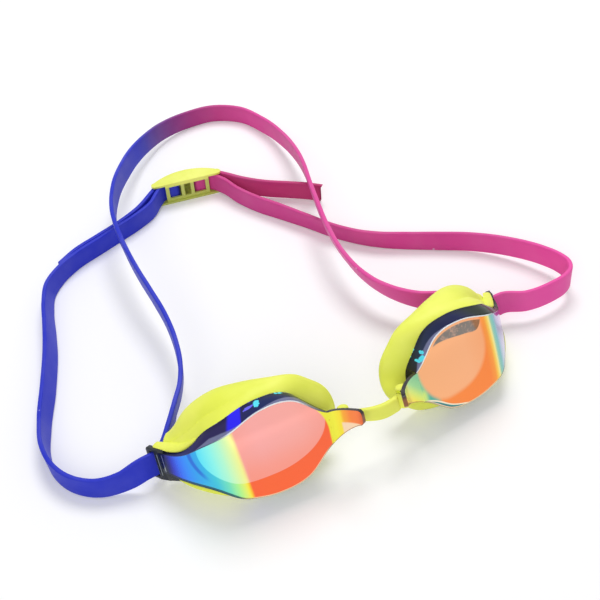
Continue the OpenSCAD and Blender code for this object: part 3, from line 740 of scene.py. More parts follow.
def lens_shell(side, word, coat, edge, wall):
    skin = Skin("lens_s", "lens_v", "lens_t", "from_top", "from_low", side=side)
    i, j = np.meshgrid(np.arange(COLS + 1), np.arange(ROWS + 1), indexing="ij")
    f, g = i / COLS, 0.5 - 0.5 * np.cos(np.pi * j / ROWS)
    sheet, s = front_at(f, g), spread(f) * LENGTH
    faces = ring_faces(COLS + 1, ROWS + 1, closed=False)
    # Distance from the front's upper and lower edge, square to the edge
    v, ends = sheet[..., 2], [0, -1]
    square = np.cos(np.arctan(np.gradient(v[:, ends], axis=0) / np.gradient(s[:, ends], axis=0)))
    skin.add(sheet, faces, 0, lens_s=s, lens_v=v,
             from_top=(v[:, -1:] - v) * square[:, 1:], from_low=(v - v[:, :1]) * square[:, :1])
    free = np.where(ALONG > 0, 1.0, 0.0)[:, None]
    rings = np.stack([between(FRONT, SEAT, t, out * free) for t, out in WALL_ROWS])
    for paint, rows in ((1, slice(0, CHAMFER + 1)), (2, slice(CHAMFER, None))):
        part, depths = rings[rows], [t for t, _ in WALL_ROWS[rows]]
        skin.add(part, ring_faces(len(part), len(ALONG)), paint, lens_v=part[..., 2],
                 lens_s=np.tile(RING_S, len(part)), lens_t=np.repeat(depths, len(ALONG)))
    hollow = [SEAT, BORE, mix(BORE, INNER, 0.5), INNER]
    skin.add(hollow, ring_faces(len(hollow), len(ALONG)), 3, lens_s=np.tile(RING_S, len(hollow)))
    skin.add(inner_at(f, g), faces, 3)
    made = skin.make(f"{word}_lens_shell", [coat, edge, wall, smoke_inside])
    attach(made, f"{word}_eyecup")
    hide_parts(f"{word}_lens")


lens_shell(-1, "left", left_coat, left_edge, left_wall)
lens_shell(1, "right", right_coat, right_edge, right_wall)

# %% [markdown]
# ## Nose tabs and hooks
# At the nose end each front runs on into a tab that curves forwards. A short arm at its top carries a pin,
# on which the bridge's eye sits. The tab is a bent plate with a rounded tip, so we make its outline on the
# curve and give it thickness.

# %% Tabs
TAB_R, TAB_T, TAB_SPAN = 10.5, 1.4, 11.2
TAB_ROOT_TOP, TAB_ROOT_LOW = LENS_RISE * 0.30, LENS_DROP * 0.44
TAB_TIP_TOP, TAB_TIP_LOW, TAB_CORNER = 3.0, 2.6, 1.5
LEFT_TAB = [
    (-11.2, 255, 126, 72), (-7, 255, 138, 64), (-4.6, 255, 178, 54), (-3.7, 255, 228, 54),
    (-1.5, 250, 246, 62), (0, *NOSE_YELLOW)]
RIGHT_TAB = [
    (-13, 250, 166, 48), (-10.4, 254, 202, 52), (-7.6, 252, 240, 80), (-5, 222, 242, 120),
    (-2, 164, 222, 152), (2, 140, 206, 156)]


def tab_finish(name, climb, stops, low_colour, pale_from):
    """Colours along the tab, shifted by climb with the height; paler below a line from pale_from."""
    tab = Finish(name, Metallic=0.6, Coat_Weight=0.25, Coat_Roughness=0.05)
    s, v = tab.own("lens_s"), tab.own("lens_v")
    pale = (v - (s + 2) * 0.2).rise(-0.2, -0.9) * s.rise(pale_from, pale_from - 0.7)
    outline = tab.own("from_low").rise(0.34, 0.2) * s.rise(0.2, -0.6)
    colour = tab.layered(tab.ramp(s + v * climb, -TAB_SPAN - 3, 4, stops),
                         [(pale, low_colour), (outline * 0.85, (164, 104, 62))])
    tab.feed(Base_Color=colour, Roughness=tab.noise(600) * 0.08 + 0.12)
    return tab


left_tab = tab_finish("left_tab_coat", 0.0, LEFT_TAB, low_colour=(255, 222, 184), pale_from=-3.4)
right_tab = tab_finish("right_tab_coat", 0.9, RIGHT_TAB, low_colour=(250, 206, 90), pale_from=-20)
dark_edge = Finish("dark_edge", Coat_Weight=0.2, Coat_Roughness=0.06, Specular_IOR_Level=0.3)
upper = dark_edge.own("lens_v").rise(0.2, 2.4)
dark_edge.feed(Base_Color=dark_edge.blend(upper, (150, 96, 60), (40, 36, 40)),
               Roughness=dark_edge.noise(400) * 0.1 + 0.15)
print("tab finishes:", left_tab.material.name, right_tab.material.name)

# %% Tab plates
TAB_STEPS, CORNER_STEPS, TAB_ROWS = 22, 9, 13


def tab_rows():
    """Places on the tab's front: distance along it, from the root, and height."""
    straight = TAB_SPAN - TAB_CORNER
    corner = np.sin(np.linspace(0, np.pi / 2, CORNER_STEPS))
    run = np.concatenate([np.linspace(-0.3, straight, TAB_STEPS, endpoint=False),
                          TAB_SPAN - TAB_CORNER * (1 - corner)])
    f = np.clip(run / straight, 0, 1)
    past = np.maximum(run - TAB_SPAN + TAB_CORNER, 0)
    cut = TAB_CORNER - np.sqrt(np.maximum(TAB_CORNER**2 - past**2, 0))
    high = mix(TAB_ROOT_TOP, TAB_TIP_TOP, ease(f)) - cut
    low = -mix(TAB_ROOT_LOW, TAB_TIP_LOW, 1 - (1 - f) ** 1.25) + cut
    lift = np.linspace(0, 1, TAB_ROWS)[None, :]
    return np.repeat(run[:, None], TAB_ROWS, 1), mix(low[:, None], high[:, None], lift)


def on_tab(run, v, depth):
    a = run / TAB_R
    r = TAB_R + depth
    return np.stack([-r * np.sin(a), r * np.cos(a) - TAB_R, v], -1)


def nose_tab(side, word, coat):
    run, v = tab_rows()
    skin = Skin("lens_s", "lens_v", "from_low", side=side)
    n, m = run.shape
    sheet = ring_faces(n, m, closed=False)
    # The front dips under the lens at its root, so that no edge shows there
    face = np.where(run < 0, 0.05, -0.02)
    for depth, paint in ((face, 0), (TAB_T, 1)):
        skin.add(on_tab(run, v, depth), sheet, paint, lens_s=-run, lens_v=v, from_low=v - v[:, :1])
    border = [(i, 0) for i in range(n)] + [(n - 1, j) for j in range(1, m)]
    border += [(i, m - 1) for i in range(n - 2, -1, -1)] + [(0, j) for j in range(m - 2, 0, -1)]
    rim = tuple(np.array(c) for c in zip(*border))
    rings = [on_tab(run[rim], v[rim], d) for d in (face[rim], 0.2, TAB_T - 0.2, TAB_T)]
    skin.add(rings, ring_faces(len(rings), len(border)), 1,
             lens_s=np.tile(-run[rim], len(rings)), lens_v=np.tile(v[rim], len(rings)))
    made = skin.make(f"{word}_nose_tab", [coat, dark_edge])
    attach(made, f"{word}_eyecup")


nose_tab(-1, "left", left_tab)
nose_tab(1, "right", right_tab)

# %% Hooks
PIN_R, HOOK_U, EYE_R, BRIDGE_GAP, HOOK_ARM, EYE_TOP = 0.8, -6.0, 2.0, 0.3, 1.1, -0.5
HOOK_Y = sqrt((TAB_R + TAB_T + BRIDGE_GAP + EYE_R) ** 2 - HOOK_U**2) - TAB_R
HOOK_TOP = EYE_TOP + 0.2
TURNED = 40
BRIDGE_H = 5.4
BRIDGE_LOW = -BRIDGE_H - 0.9
# The bridge sits higher on the left pin, which starts as much higher
PIN_START = {-1: BRIDGE_LOW + 1.7, 1: BRIDGE_LOW}


def smoke(name, scale, thin, highlight_lines=None):
    """Dark smoke-clear plastic, a little uneven; the last argument makes painted highlights that go over
    it.
    """
    made = Finish(name, Coat_Weight=0.15, Coat_Roughness=0.03, Specular_IOR_Level=0.15)
    cloud = made.noise(scale, 3)
    colour = made.blend(cloud.rise(0.35, 0.7), (34, 38, 42), thin)
    if highlight_lines:
        colour = made.layered(colour, highlight_lines(made))
    made.feed(Base_Color=colour, Roughness=cloud * 0.08 + 0.1)
    return made


def lathe(skin, radii):
    """A turned piece on the pin's upright line: rows of radius and height."""
    a = np.arange(TURNED) / TURNED * 2 * np.pi
    rings = [np.stack([HOOK_U + r * np.cos(a), HOOK_Y + r * np.sin(a), np.full(TURNED, z)], -1)
             for r, z in radii]
    skin.tube(rings)


def rounded_box(low, high, cut):
    """Corner points and faces of a block whose edges are rounded."""
    work = bmesh.new()
    bmesh.ops.create_cube(work, size=1)
    low, high = np.array(low, float), np.array(high, float)
    for vert in work.verts:
        vert.co = Vector(low + (np.array(vert.co) + 0.5) * (high - low))
    bmesh.ops.bevel(work, geom=list(work.edges), offset=cut, segments=3, affect="EDGES", profile=0.5)
    return faces_of(work)


def nose_hook(side, word):
    skin = Skin(side=side)
    top_z, low = HOOK_TOP + HOOK_ARM, PIN_START[side]
    lathe(skin, [(0.5, low), (PIN_R, low + 0.3), (PIN_R, top_z - 0.25), (0.55, top_z)])
    skin.add(*rounded_box((HOOK_U - PIN_R, -0.2, HOOK_TOP), (HOOK_U + PIN_R, HOOK_Y, top_z - 0.05), 0.25))
    made = skin.make(f"{word}_nose_hook", [smoke_clear])
    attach(made, f"{word}_eyecup")


smoke_clear = smoke("smoke_clear", 120, thin=(50, 54, 60))
for side, word in SIDES:
    nose_hook(side, word)

# %% [markdown]
# ## Strap slots
# Behind each temple end a smoke-clear frame holds the strap: a plate with a window and a round outer post.
# It is cut from a three by three pattern without its middle, thickened and rounded, so that the frame is
# one closed moulding.

# %% Slot plate
PLATE_T, POST_R, SLOT_NEAR, STRAP_CLEAR = 1.8, 1.1, 0.9, 0.5
STRAP_W, STRAP_T = 8.6, 1.7
SLOT_FAR = SLOT_NEAR + 2 * STRAP_CLEAR + STRAP_T + 0.6
POST_AT = SLOT_FAR + POST_R
SLOT_H, ARM_H, SLOT_MID = STRAP_W + 2 * STRAP_CLEAR, 1.2, -4.2
END_TURN = radians(float(heading(LENGTH)))
PLAN_END = np.array(plan_at(LENGTH))
# The plate starts behind the lens, set back there, and its bar has a lip to the front
PLATE_START, START_BACK, POST_SHORT = -2.5, 0.35, 0.4
BAR_LIP, BAR_FORWARD = 1.0, 0.25


def on_plate(a, b, z):
    """Place at the temple end: along the plate, through it, and up."""
    x = PLAN_END[0] + a * cos(END_TURN) - b * sin(END_TURN)
    y = PLAN_END[1] + a * sin(END_TURN) + b * cos(END_TURN)
    return np.stack(np.broadcast_arrays(x, y, SLOT_MID + z), -1)


def plate_mesh():
    """The frame as a flat plate with rounded edges: points and faces."""
    runs = [PLATE_START, SLOT_NEAR, SLOT_FAR, POST_AT + POST_R - POST_SHORT]
    lifts = [-SLOT_H / 2 - ARM_H, -SLOT_H / 2, SLOT_H / 2, SLOT_H / 2 + ARM_H]
    work = bmesh.new()
    grid = [[work.verts.new((a, 0.0, z)) for z in lifts] for a in runs]
    cells = [work.faces.new((grid[i][j], grid[i + 1][j], grid[i + 1][j + 1], grid[i][j + 1]))
             for i in range(3) for j in range(3) if (i, j) != (1, 1)]
    thick = bmesh.ops.extrude_face_region(work, geom=cells)
    for item in thick["geom"]:
        if isinstance(item, bmesh.types.BMVert):
            item.co.y = PLATE_T
    for vert in work.verts:
        if vert.co.x < -1 and vert.co.y < 1:
            vert.co.y = START_BACK
        if abs(vert.co.x - SLOT_NEAR) < 0.1 and vert.co.y < 1:
            vert.co.x += BAR_LIP
            vert.co.y -= BAR_FORWARD
    bmesh.ops.recalc_face_normals(work, faces=work.faces)
    post_ends = [e for e in work.edges
                 if all(v.co.x > POST_AT and abs(v.co.z) > SLOT_H / 2 + 1 for v in e.verts)]
    bmesh.ops.bevel(work, geom=post_ends, offset=1.0, segments=5, affect="EDGES", profile=0.5)
    corners = [e for e in work.edges if e.calc_face_angle(0) > 0.6]
    bmesh.ops.bevel(work, geom=corners, offset=0.3, segments=3, affect="EDGES", profile=0.5)
    return faces_of(work)


print("slot window", round(SLOT_FAR - SLOT_NEAR, 1), "by", round(SLOT_H, 1), "mm")

# %% Slot frames
ROOT_FROM, OFF_BAR = 49.0, -9


def bar_highlights(bar):
    """Painted highlights: two thin bright strokes run up the bar of the frame, where light catches it."""
    a, z = bar.own("plate_a"), bar.own("plate_z")
    highlight_lines = (a - 1.75).size().rise(0.16, 0.06) + (a - 0.55).size().rise(0.14, 0.05)
    return [(highlight_lines * z.size().rise(4.4, 3.8) * 0.8, (186, 196, 200))]


def lower_root(skin):
    """Gusset that carries the frame's lower arm into the lower edge of the lens."""
    s = np.linspace(ROOT_FROM, LENGTH + 0.9, 24)
    edge = -LENS_DROP * curve(OUTLINES["front"][1], s / LENGTH)
    low = mix(edge, SLOT_MID - SLOT_H / 2 - ARM_H, ease((s - ROOT_FROM) / (LENGTH - ROOT_FROM)))
    rings = []
    for place, high_z, low_z in zip(s, edge + 0.8, low):
        x, y = plan_at(place)
        h = radians(float(heading(min(place, LENGTH))))
        shape = [(0.1, high_z), (0.05, low_z + 0.35), (0.15, low_z + 0.1), (0.4, low_z), (1.2, low_z),
                 (1.5, low_z + 0.3), (1.5, high_z)]
        rings.append([(x - d * sin(h), y + d * cos(h) + upright_bow(z), z) for d, z in shape])
    skin.tube(rings, plate_a=OFF_BAR)


def slot_frame(side, word):
    points, faces = plate_mesh()
    skin = Skin("plate_a", "plate_z", side=side)
    skin.add(on_plate(*points.T), faces, 0, plate_a=points[:, 0], plate_z=points[:, 2])
    lower_root(skin)
    made = skin.make(f"{word}_strap_slot", [smoke_bar])
    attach(made, f"{word}_eyecup")


smoke_bar = smoke("smoke_bar", 140, thin=(52, 58, 62), highlight_lines=bar_highlights)
for side, word in SIDES:
    slot_frame(side, word)

# %% [markdown]
# ## Seals
# A seal is a soft lime gasket with a fat roll that touches the face and a thinner skirt on the lens. It is
# swept round the lens between the seat and the rim, with a row of pushes as its profile. A groove parts
# roll and skirt; it starts near the middle of the lens and runs to the temple, where the skirt is broadest.

# %% Silicone
lime_soft = Finish("lime_silicone", Specular_IOR_Level=0.35)
haze = lime_soft.noise(45, 3, 0.6)
fine = lime_soft.noise(1600, 2)
lime_soft.feed(Base_Color=lime_soft.blend(haze.rise(0.3, 0.7), (239, 248, 86), (250, 255, 108)),
               Roughness=fine * 0.16 + 0.4, Normal=lime_soft.bump(fine, 0.00004))
print("silicone:", lime_soft.material.name)

# %% Seal profile
# Rows of place between seat and rim, outward push and backward push, where the groove is fully there
SEAL_OUT = np.array([
    [0, 0, 0], [0.06, 0.32, 0], [0.12, 0.5, 0], [0.2, 0.6, 0], [0.28, 0.62, 0], [0.345, 0.52, 0],
    [0.39, 0.42, 0], [0.43, 0.85, 0], [0.5, 1.5, 0], [0.6, 2.0, 0], [0.7, 2.1, 0], [0.8, 1.9, 0],
    [0.89, 1.45, 0.3], [0.95, 1.0, 0.6], [0.985, 0.4, 0.9], [1.0, -0.2, 1.0]])
SEAL_IN = [(1.0, -0.3, -0.4), (0.85, -0.25, -0.1), (0.7, -0.2, 0), (0.3, 0, 0), (0, 0, 0)]
ROLL_TOP, ROLL_OUT, LIP_SWELL, SEAL_STEPS = 0.62, 2.0, 0.25, 46
GROOVE = ease((ALONG - 0.42) / 0.2)


def seal_rings():
    place, grooved, rear = (curve(column, np.linspace(0, 1, SEAL_STEPS)) for column in SEAL_OUT.T)
    smooth = ROLL_OUT * (1 - (np.maximum(ROLL_TOP - place, 0) / ROLL_TOP) ** 2) ** 0.85
    smooth = np.where(place > ROLL_TOP, grooved, smooth)
    rings = [between(SEAT, RIM, f, mix(a, b, GROOVE)[:, None], r)
             for f, a, b, r in zip(place, smooth, grooved, rear)]
    lip = between(RIM, RIM, 0, -LIP_T)
    edge = between(BORE, lip, *SEAL_IN[0])
    turn = [mix(rings[-1], edge, t) + np.array([0, LIP_SWELL * sin(pi * t), 0]) * FADE[:, None]
            for t in (0.25, 0.5, 0.75)]
    return [SEAT] + rings[1:] + turn + [between(BORE, lip, *row) for row in SEAL_IN]


SEAL_RINGS = seal_rings()
print("seal of", len(SEAL_RINGS), "rings")

# %% Seals
# Spine of the skirt's end in the plate's measures, with half its breadth and half its thickness
TONGUE = np.array([
    [-17, 6.8, 7.0, 0.2, 0.2], [-14.4, 5.5, 5.4, 1.1, 0.8], [-11.5, 4.5, 3.7, 1.7, 1.05],
    [-9, 3.9, 2.75, 2.0, 1.05], [-6.5, 3.4, 2.3, 2.0, 1.0], [-4, 2.9, 2.15, 1.9, 0.95],
    [-2, 2.5, 2.3, 1.7, 0.6], [0, 2.2, 2.34, 1.5, 0.46], [2.9, 1.9, 2.34, 1.3, 0.42]])
TONGUE_ROUND, TONGUE_LEAN, TONGUE_STEPS, TONGUE_AROUND = 0.04, 0.25, 90, 28
# Profile of the skirt on the underside: place between front and seat, and push outwards
LIP_PROFILE = [
    (0.14, -0.1), (0.16, 0.7), (0.22, 1.4), (0.32, 1.85), (0.5, 2.0), (0.75, 1.8), (0.96, 1.2),
    (1.03, -0.1)]
LIP_FROM, LIP_TO, LIP_CORE = 38.0, 62.0, -0.1


def skirt_tongue(skin):
    """End of the skirt: it follows the seat's upper edge and then lies on the slot's upper arm."""
    f = np.linspace(0, 1, TONGUE_STEPS)
    past = np.maximum(f - (1 - TONGUE_ROUND), 0)
    end = np.sqrt(np.clip(1 - past ** 2 / TONGUE_ROUND ** 2, 0.003, 1))
    a = np.linspace(0, 2 * np.pi, TONGUE_AROUND, endpoint=False)
    rings = []
    for u, b, z, wide, tall, e in zip(*(curve(column, f) for column in TONGUE.T), end):
        rise = tall * np.sin(a) + TONGUE_LEAN * wide * np.cos(a)
        rings.append(on_plate(u + 0 * a, b + wide * e * np.cos(a), z - SLOT_MID + e * rise))
    skin.tube(rings)


def skirt_lip(skin):
    """Forward edge of the skirt on the underside of the temple, which shows below the lens."""
    low = (ACROSS == 0) & (RING_S > LIP_FROM) & (RING_S < LIP_TO)
    share = (RING_S[low] - LIP_FROM) / (LIP_TO - LIP_FROM)
    swell = np.sqrt(np.clip(4 * share * (1 - share), 0.02, 1))
    full = np.ones((len(ALONG), 1))
    rings = np.stack([between(FRONT, SEAT, t, out * full)[low] for t, out in LIP_PROFILE])
    core = np.stack([between(FRONT, SEAT, t, LIP_CORE * full)[low] for t, _ in LIP_PROFILE])
    skin.tube(np.swapaxes(mix(core, rings, swell[None, :, None]), 0, 1))


def eye_seal(side, word):
    skin = Skin(side=side)
    # The last ring joins the first again
    skin.add(SEAL_RINGS, ring_faces(len(SEAL_RINGS) + 1, len(ALONG)) % (len(SEAL_RINGS) * len(ALONG)))
    skirt_tongue(skin)
    skirt_lip(skin)
    made = skin.make(f"{word}_eye_seal", [lime_soft], sharp=50)
    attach(made, f"{word}_eyecup")
    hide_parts(f"{word}_seal")


for side, word in SIDES:
    eye_seal(side, word)

# %% [markdown]
# ## Nose bridge
# The bridge is one soft moulding: a thick band with an upright eye at each end. Separate bodies, a swept
# band and two turned eyes, are melted together by a voxel remesh and relaxed, which gives the smooth necks
# of a moulded part. Afterwards the room for the pins and hooks is cut out again.

# %% Bridge band
BRIDGE_T, BRIDGE_BOW, BOW_DOWN, FRONT_SWELL = 2.2, 0.8, 0.4, 1.15
# The band is set higher and slimmer at the left eye, and its middle hangs a little
LEFT_LIFT, LEFT_SHARE, HANG = 2.4, 0.74, 0.5
# Its front stops at a shoulder short of the right eye, and a thinner neck goes on
SHOULDER, NECK = 0.87, 0.25
BAND_STEPS, BAND_AROUND = 81, 40


def signed_power(x, power):
    return np.sign(x) * np.abs(x) ** power


def bridge_band():
    """Rings of the band from the left eye to the right one: a rounded oblong that changes on the way."""
    mid = np.array([HOOK_U, HOOK_Y, BRIDGE_LOW + BRIDGE_H / 2])
    left_end, right_end = (place_eyecup(mid, s) for s, _ in SIDES)
    left_up, right_up = (lens_up(mid, s) for s, _ in SIDES)
    a = np.linspace(0, 2 * np.pi, BAND_AROUND, endpoint=False)
    through, across = signed_power(np.cos(a), 0.55)[:, None], signed_power(np.sin(a), 0.45)[:, None]
    rings = []
    for f in np.linspace(0, 1, BAND_STEPS):
        arch = sin(pi * f)
        up = mix(left_up, right_up, f)
        c = mix(left_end, right_end, f) - np.array([0, BRIDGE_BOW * arch, BOW_DOWN * BRIDGE_BOW * arch])
        c = c + up * (LEFT_LIFT * (1 - ease(f / 0.75)) - HANG * arch ** 2)
        out = np.cross(right_end - left_end, up)
        out /= np.linalg.norm(out)
        front = np.where(through > 0, mix(FRONT_SWELL, NECK, ease((f - SHOULDER) / 0.04)), 1)
        tall = BRIDGE_H / 2 * mix(LEFT_SHARE, 1, ease(f / 0.6))
        rings.append(c + through * front * BRIDGE_T / 2 * out + across * tall * up)
    return rings


BAND = bridge_band()
print("bridge band", round(np.linalg.norm(BAND[-1].mean(0) - BAND[0].mean(0)), 1), "mm between the eyes")

# %% Bridge
HOOD_LOW = HOOK_TOP + HOOK_ARM + 0.2
HOOD_TOP = HOOD_LOW + 0.7
EYE_END = {-1: HOOD_TOP + 1.3, 1: HOOD_TOP}
BORE_R, BORE_FROM, GATE = PIN_R + 0.05, -14, 4
VOXEL, RELAX_TIMES, RELAX_SHARE = 0.00018, 5, 0.5


def apply_modifiers(made):
    bpy.context.view_layer.objects.active = made
    made.select_set(True)
    for modifier in list(made.modifiers):
        bpy.ops.object.modifier_apply(modifier=modifier.name)
    made.select_set(False)


def drill_bit():
    """What is cut from the eyes: a bore for the pin and a gate for the hook's arm."""
    drill = Skin()
    for side, _ in SIDES:
        drill.side = side
        lathe(drill, [(BORE_R, BORE_FROM), (BORE_R, HOOD_LOW)])
        near, far = (HOOK_U - GATE, HOOK_Y - GATE, EYE_TOP), (HOOK_U + GATE, HOOK_Y + BORE_R, HOOD_LOW)
        drill.add(*rounded_box(near, far, 0.1))
    return drill.make("drill", [])


def nose_bridge():
    skin = Skin()
    skin.tube(BAND)
    for side, _ in SIDES:
        skin.side = side
        low, high = PIN_START[side], EYE_END[side]
        lathe(skin, [(EYE_R - 0.5, low), (EYE_R - 0.15, low + 0.15), (EYE_R, low + 0.5),
                     (EYE_R, high - 0.7), (EYE_R - 0.2, high - 0.25), (EYE_R - 0.7, high)])
    made = skin.make("nose_bridge_band", [lime_soft], weld=1e-9)
    melt = made.modifiers.new("melt", "REMESH")
    melt.mode = "VOXEL"
    melt.voxel_size = VOXEL
    relax = made.modifiers.new("relax", "SMOOTH")
    relax.iterations = RELAX_TIMES
    relax.factor = RELAX_SHARE
    apply_modifiers(made)
    bit = drill_bit()
    bore = made.modifiers.new("bore", "BOOLEAN")
    bore.object = bit
    bore.operation = "DIFFERENCE"
    apply_modifiers(made)
    bpy.data.objects.remove(bit)
    smooth_but_sharp(made.data, 50)
    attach(made, "strap")
    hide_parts("nose_bridge")
    print("bridge", len(made.data.vertices), "points")


nose_bridge()

# %% [markdown]
# ## Strap
# One flat silicone band runs twice behind the head. From the left tail it folds round the buckle, passes
# the left slot, goes up to the crown and comes back the same way on the right. Its route is a row of
# given places with a lean for the band's width; a smooth curve goes through them and carries a rounded
# cross section. It is built in stretches, so that the turns can follow the eyecup or the buckle that moves
# them.

# %% Turns and folds
BUCKLE_AT, BUCKLE_TURN, BUCKLE_D, BUCKLE_WALL = np.array([0.2, 166.6, 0]), radians(-10), 7.8, 0.9
BUCKLE_H = STRAP_W + 0.3 + 2 * BUCKLE_WALL
LOOP_U, LOOP_LEAD, LOOP_POST_R = 5.3, 4.9, 0.5
LOOP_R = LOOP_POST_R + 0.1 + STRAP_T / 2
LOOP_Y = 0.7 - BUCKLE_D / 2 + BUCKLE_WALL + 0.3 + STRAP_T / 2 + LOOP_R
# Angles between which the strap turns round the slot's post, and its straight lead to either side
WRAP_FIRST, WRAP_LAST, WRAP_LEAD = -50, -10, 4
WRAP_R = POST_R + STRAP_CLEAR / 2 + STRAP_T / 2


def laid(rows):
    """Middle of the band and the way its width points, from the lower edge and the lean."""
    x, y, z, lean_x, lean_y = np.array([(*row, 0, 0, 0)[:5] for row in rows], float).T
    w = np.stack([lean_x, lean_y, np.sqrt(1 - lean_x ** 2 - lean_y ** 2)], 1)
    middle = np.stack([x, y, z + STRAP_T / 2 * np.hypot(lean_x, lean_y)], 1) + STRAP_W / 2 * w
    return list(zip(middle, w))


def slot_turn(side):
    """Turn round the slot's post, from the upper run to the lower one."""
    c, s = cos(END_TURN), sin(END_TURN)
    post = PLAN_END + POST_AT * np.array([c, s]) + PLATE_T / 2 * np.array([-s, c])
    bends = [mix(WRAP_FIRST, WRAP_LAST, f) for f in (0, 0.33, 0.67, 1)]
    rows = []
    for t, run in [(WRAP_FIRST, -WRAP_LEAD)] + [(t, 0) for t in bends] + [(WRAP_LAST, WRAP_LEAD)]:
        a = radians(t)
        out, on = np.array([sin(a), -cos(a)]), np.array([cos(a), sin(a)])
        p = np.array([*(post + WRAP_R * out + run * on), SLOT_MID])
        rows.append((place_eyecup(p, side), lens_up(p, side)))
    return rows


def buckle_fold(side):
    """Fold round a post of the buckle, from the run at the front to the tail at the back."""
    bend = [(-LOOP_R * sin(a), -LOOP_R * cos(a)) for a in np.linspace(0, pi, 7)]
    c, s = cos(BUCKLE_TURN), sin(BUCKLE_TURN)
    rows = []
    for u, y in [(LOOP_LEAD, -LOOP_R)] + bend + [(LOOP_LEAD, LOOP_R)]:
        x, y = side * (LOOP_U + u), LOOP_Y + y
        rows.append((BUCKLE_AT + (x * c - y * s, x * s + y * c, BUCKLE_H / 2), np.array([0, 0, 1.0])))
    return rows


print("turn of", round(WRAP_R, 2), "mm in the slots and", round(LOOP_R, 2), "mm in the buckle")

# %% Route
# Rows: x, y and z of the band's lower edge, and its lean to x and y; a short row goes on with zeros
STRETCHES = {
    "strap_left_tail": laid([
        (-66.1, 142.3), (-57.9, 147), (-46.9, 150.7), (-35.9, 154.4), (-24.8, 159.2, 0.4),
        (-16, 165.4, 1)]),
    "strap_left_loop": buckle_fold(-1)[::-1],
    "strap_left_back": laid([
        (-14.3, 163.8, 1.1), (-19, 159.4, 0.4), (-27, 155.6), (-36, 152.4), (-47, 148.7), (-58, 145),
        (-67, 139.4, 0, -0.08, 0.06), (-73, 133, 0, -0.16, 0.1), (-77, 123, 0, -0.24, 0.08),
        (-80, 111, 0, -0.3, 0.1), (-83, 100, 0, -0.34, 0.12), (-90, 81, 0, -0.34, 0.12)]),
    "strap_left_lower": laid([
        (-97, 65, 0, -0.26, 0.08), (-101, 53, 0, -0.16, 0.03), (-101.6, 45, 0, -0.06), (-98, 35),
        (-91, 28.5, 0.2, 0, 0.04), (-82, 25.2, 1.6, 0, 0.15)]),
    "strap_left_wrap": slot_turn(-1)[::-1],
    "strap_left_upper": laid([
        (-61, 36.6, 5.2, 0.1, 0.04), (-57.4, 42, 6.8, 0.14, -0.06), (-52.4, 48.8, 7.5, 0.14, -0.06),
        (-48, 57, 8, 0.08, -0.03), (-44.6, 68, 9, 0.02), (-42.5, 81.5, 10, -0.05), (-42.1, 96, 11, -0.1),
        (-42.3, 109, 12, -0.1), (-41.4, 127.5, 13, -0.1), (-38.4, 149.5, 13)]),
    "strap_crown": laid([
        (-32, 163.3, 12.5, -0.07, 0.04), (-21, 181, 9, -0.14, 0.1), (-14, 190.8, 6.6, -0.14, 0.12),
        (-5.5, 200.3, 4.2, -0.1, 0.12), (7.5, 210, 1.8, -0.05, 0.1), (21, 214.2, 0.4, 0, 0.05),
        (33.5, 213.6), (44, 206), (49.8, 190, 0.8), (51, 170, 3.8, -0.08), (49, 153, 7.2, -0.12)]),
    "strap_right_upper": laid([
        (45, 136, 10.6, -0.15), (41, 122.5, 11.8, -0.18, -0.03), (36.7, 107, 12.5, -0.18, -0.03),
        (33.6, 92, 12.4, -0.24, -0.02), (32.9, 77, 11.2, -0.36, -0.02), (33.8, 67, 10, -0.36, -0.06),
        (36.2, 58.8, 9, -0.32, -0.12), (39.8, 52.2, 8, -0.22, -0.12), (45.5, 45.5, 7, -0.1, -0.04),
        (54, 40, 6, -0.04, 0.1)]),
    "strap_right_wrap": slot_turn(1),
    "strap_right_lower": laid([
        (80, 25.4, 4.4, 0, 0.22), (92, 24.6, 4.5, 0, 0.2), (98.5, 26.2, 4.2, 0.04, 0.15),
        (102.5, 29, 4, 0.09, 0.09), (104.2, 33, 4, 0.13, 0.04), (104, 38, 3.7, 0.13, 0.04),
        (101.8, 44.5, 3.3, 0.11, 0.05), (95, 57, 1.9, 0.08, 0.06), (84.3, 69, 0.6, 0.07, 0.08)]),
    "strap_right_back": laid([
        (74, 76.8, 0.1, 0.04, 0.06), (63, 84.4), (55, 90.6, 0, -0.09, -0.09), (48.5, 97, 0, -0.15, -0.12),
        (43.3, 103.7, 0, -0.18, -0.1), (34.5, 118.6, 0, -0.14, -0.08), (28, 129, 0, -0.05, -0.03),
        (22, 138.5), (17.2, 148.3, 0.4), (14, 157.6, 1.1)]),
    "strap_right_loop": buckle_fold(1),
    "strap_right_tail": laid([
        (16, 160.8, 1.1), (21.6, 153.6, 0.9), (29, 146, 0.8), (37.2, 139.8, 0.7), (44, 134.6, 0.6),
        (49, 129.7, 0.6)])}
ROUTE = [row for rows in STRETCHES.values() for row in rows]
FIRST = np.concatenate([[0], np.cumsum([len(rows) for rows in STRETCHES.values()])])
# A stretch starts at its own first place or, as these do, at the last place before it; it ends where the
# next one starts
EARLY = ("strap_left_back", "strap_left_lower", "strap_left_upper",
         "strap_right_upper", "strap_right_lower", "strap_right_tail")
STARTS = [first - (name in EARLY) for name, first in zip(STRETCHES, FIRST)] + [len(ROUTE) - 1]
SPANS = {name: (STARTS[k], STARTS[k + 1]) for k, name in enumerate(STRETCHES)}
PLACES = np.array([p for p, _ in ROUTE])
WIDTHS = np.array([w for _, w in ROUTE])
CHORD = np.linalg.norm(np.diff(PLACES, axis=0), axis=1)
RUN = np.concatenate([[0], np.cumsum(CHORD)])
# Distance along the strap at which each stretch's own places begin
BEGIN = dict(zip(STRETCHES, RUN[FIRST[:-1]]))
print("strap", round(RUN[-1]), "mm in", len(SPANS), "stretches")

# %% [markdown]
# ### Strap finish
# Silicone straps are satin, with a faint skin and a few specks of dust. Blue comes from the left and pink
# from the right, and the dye runs over at the crown. The distance along the strap, which the mesh carries,
# sets the colour.

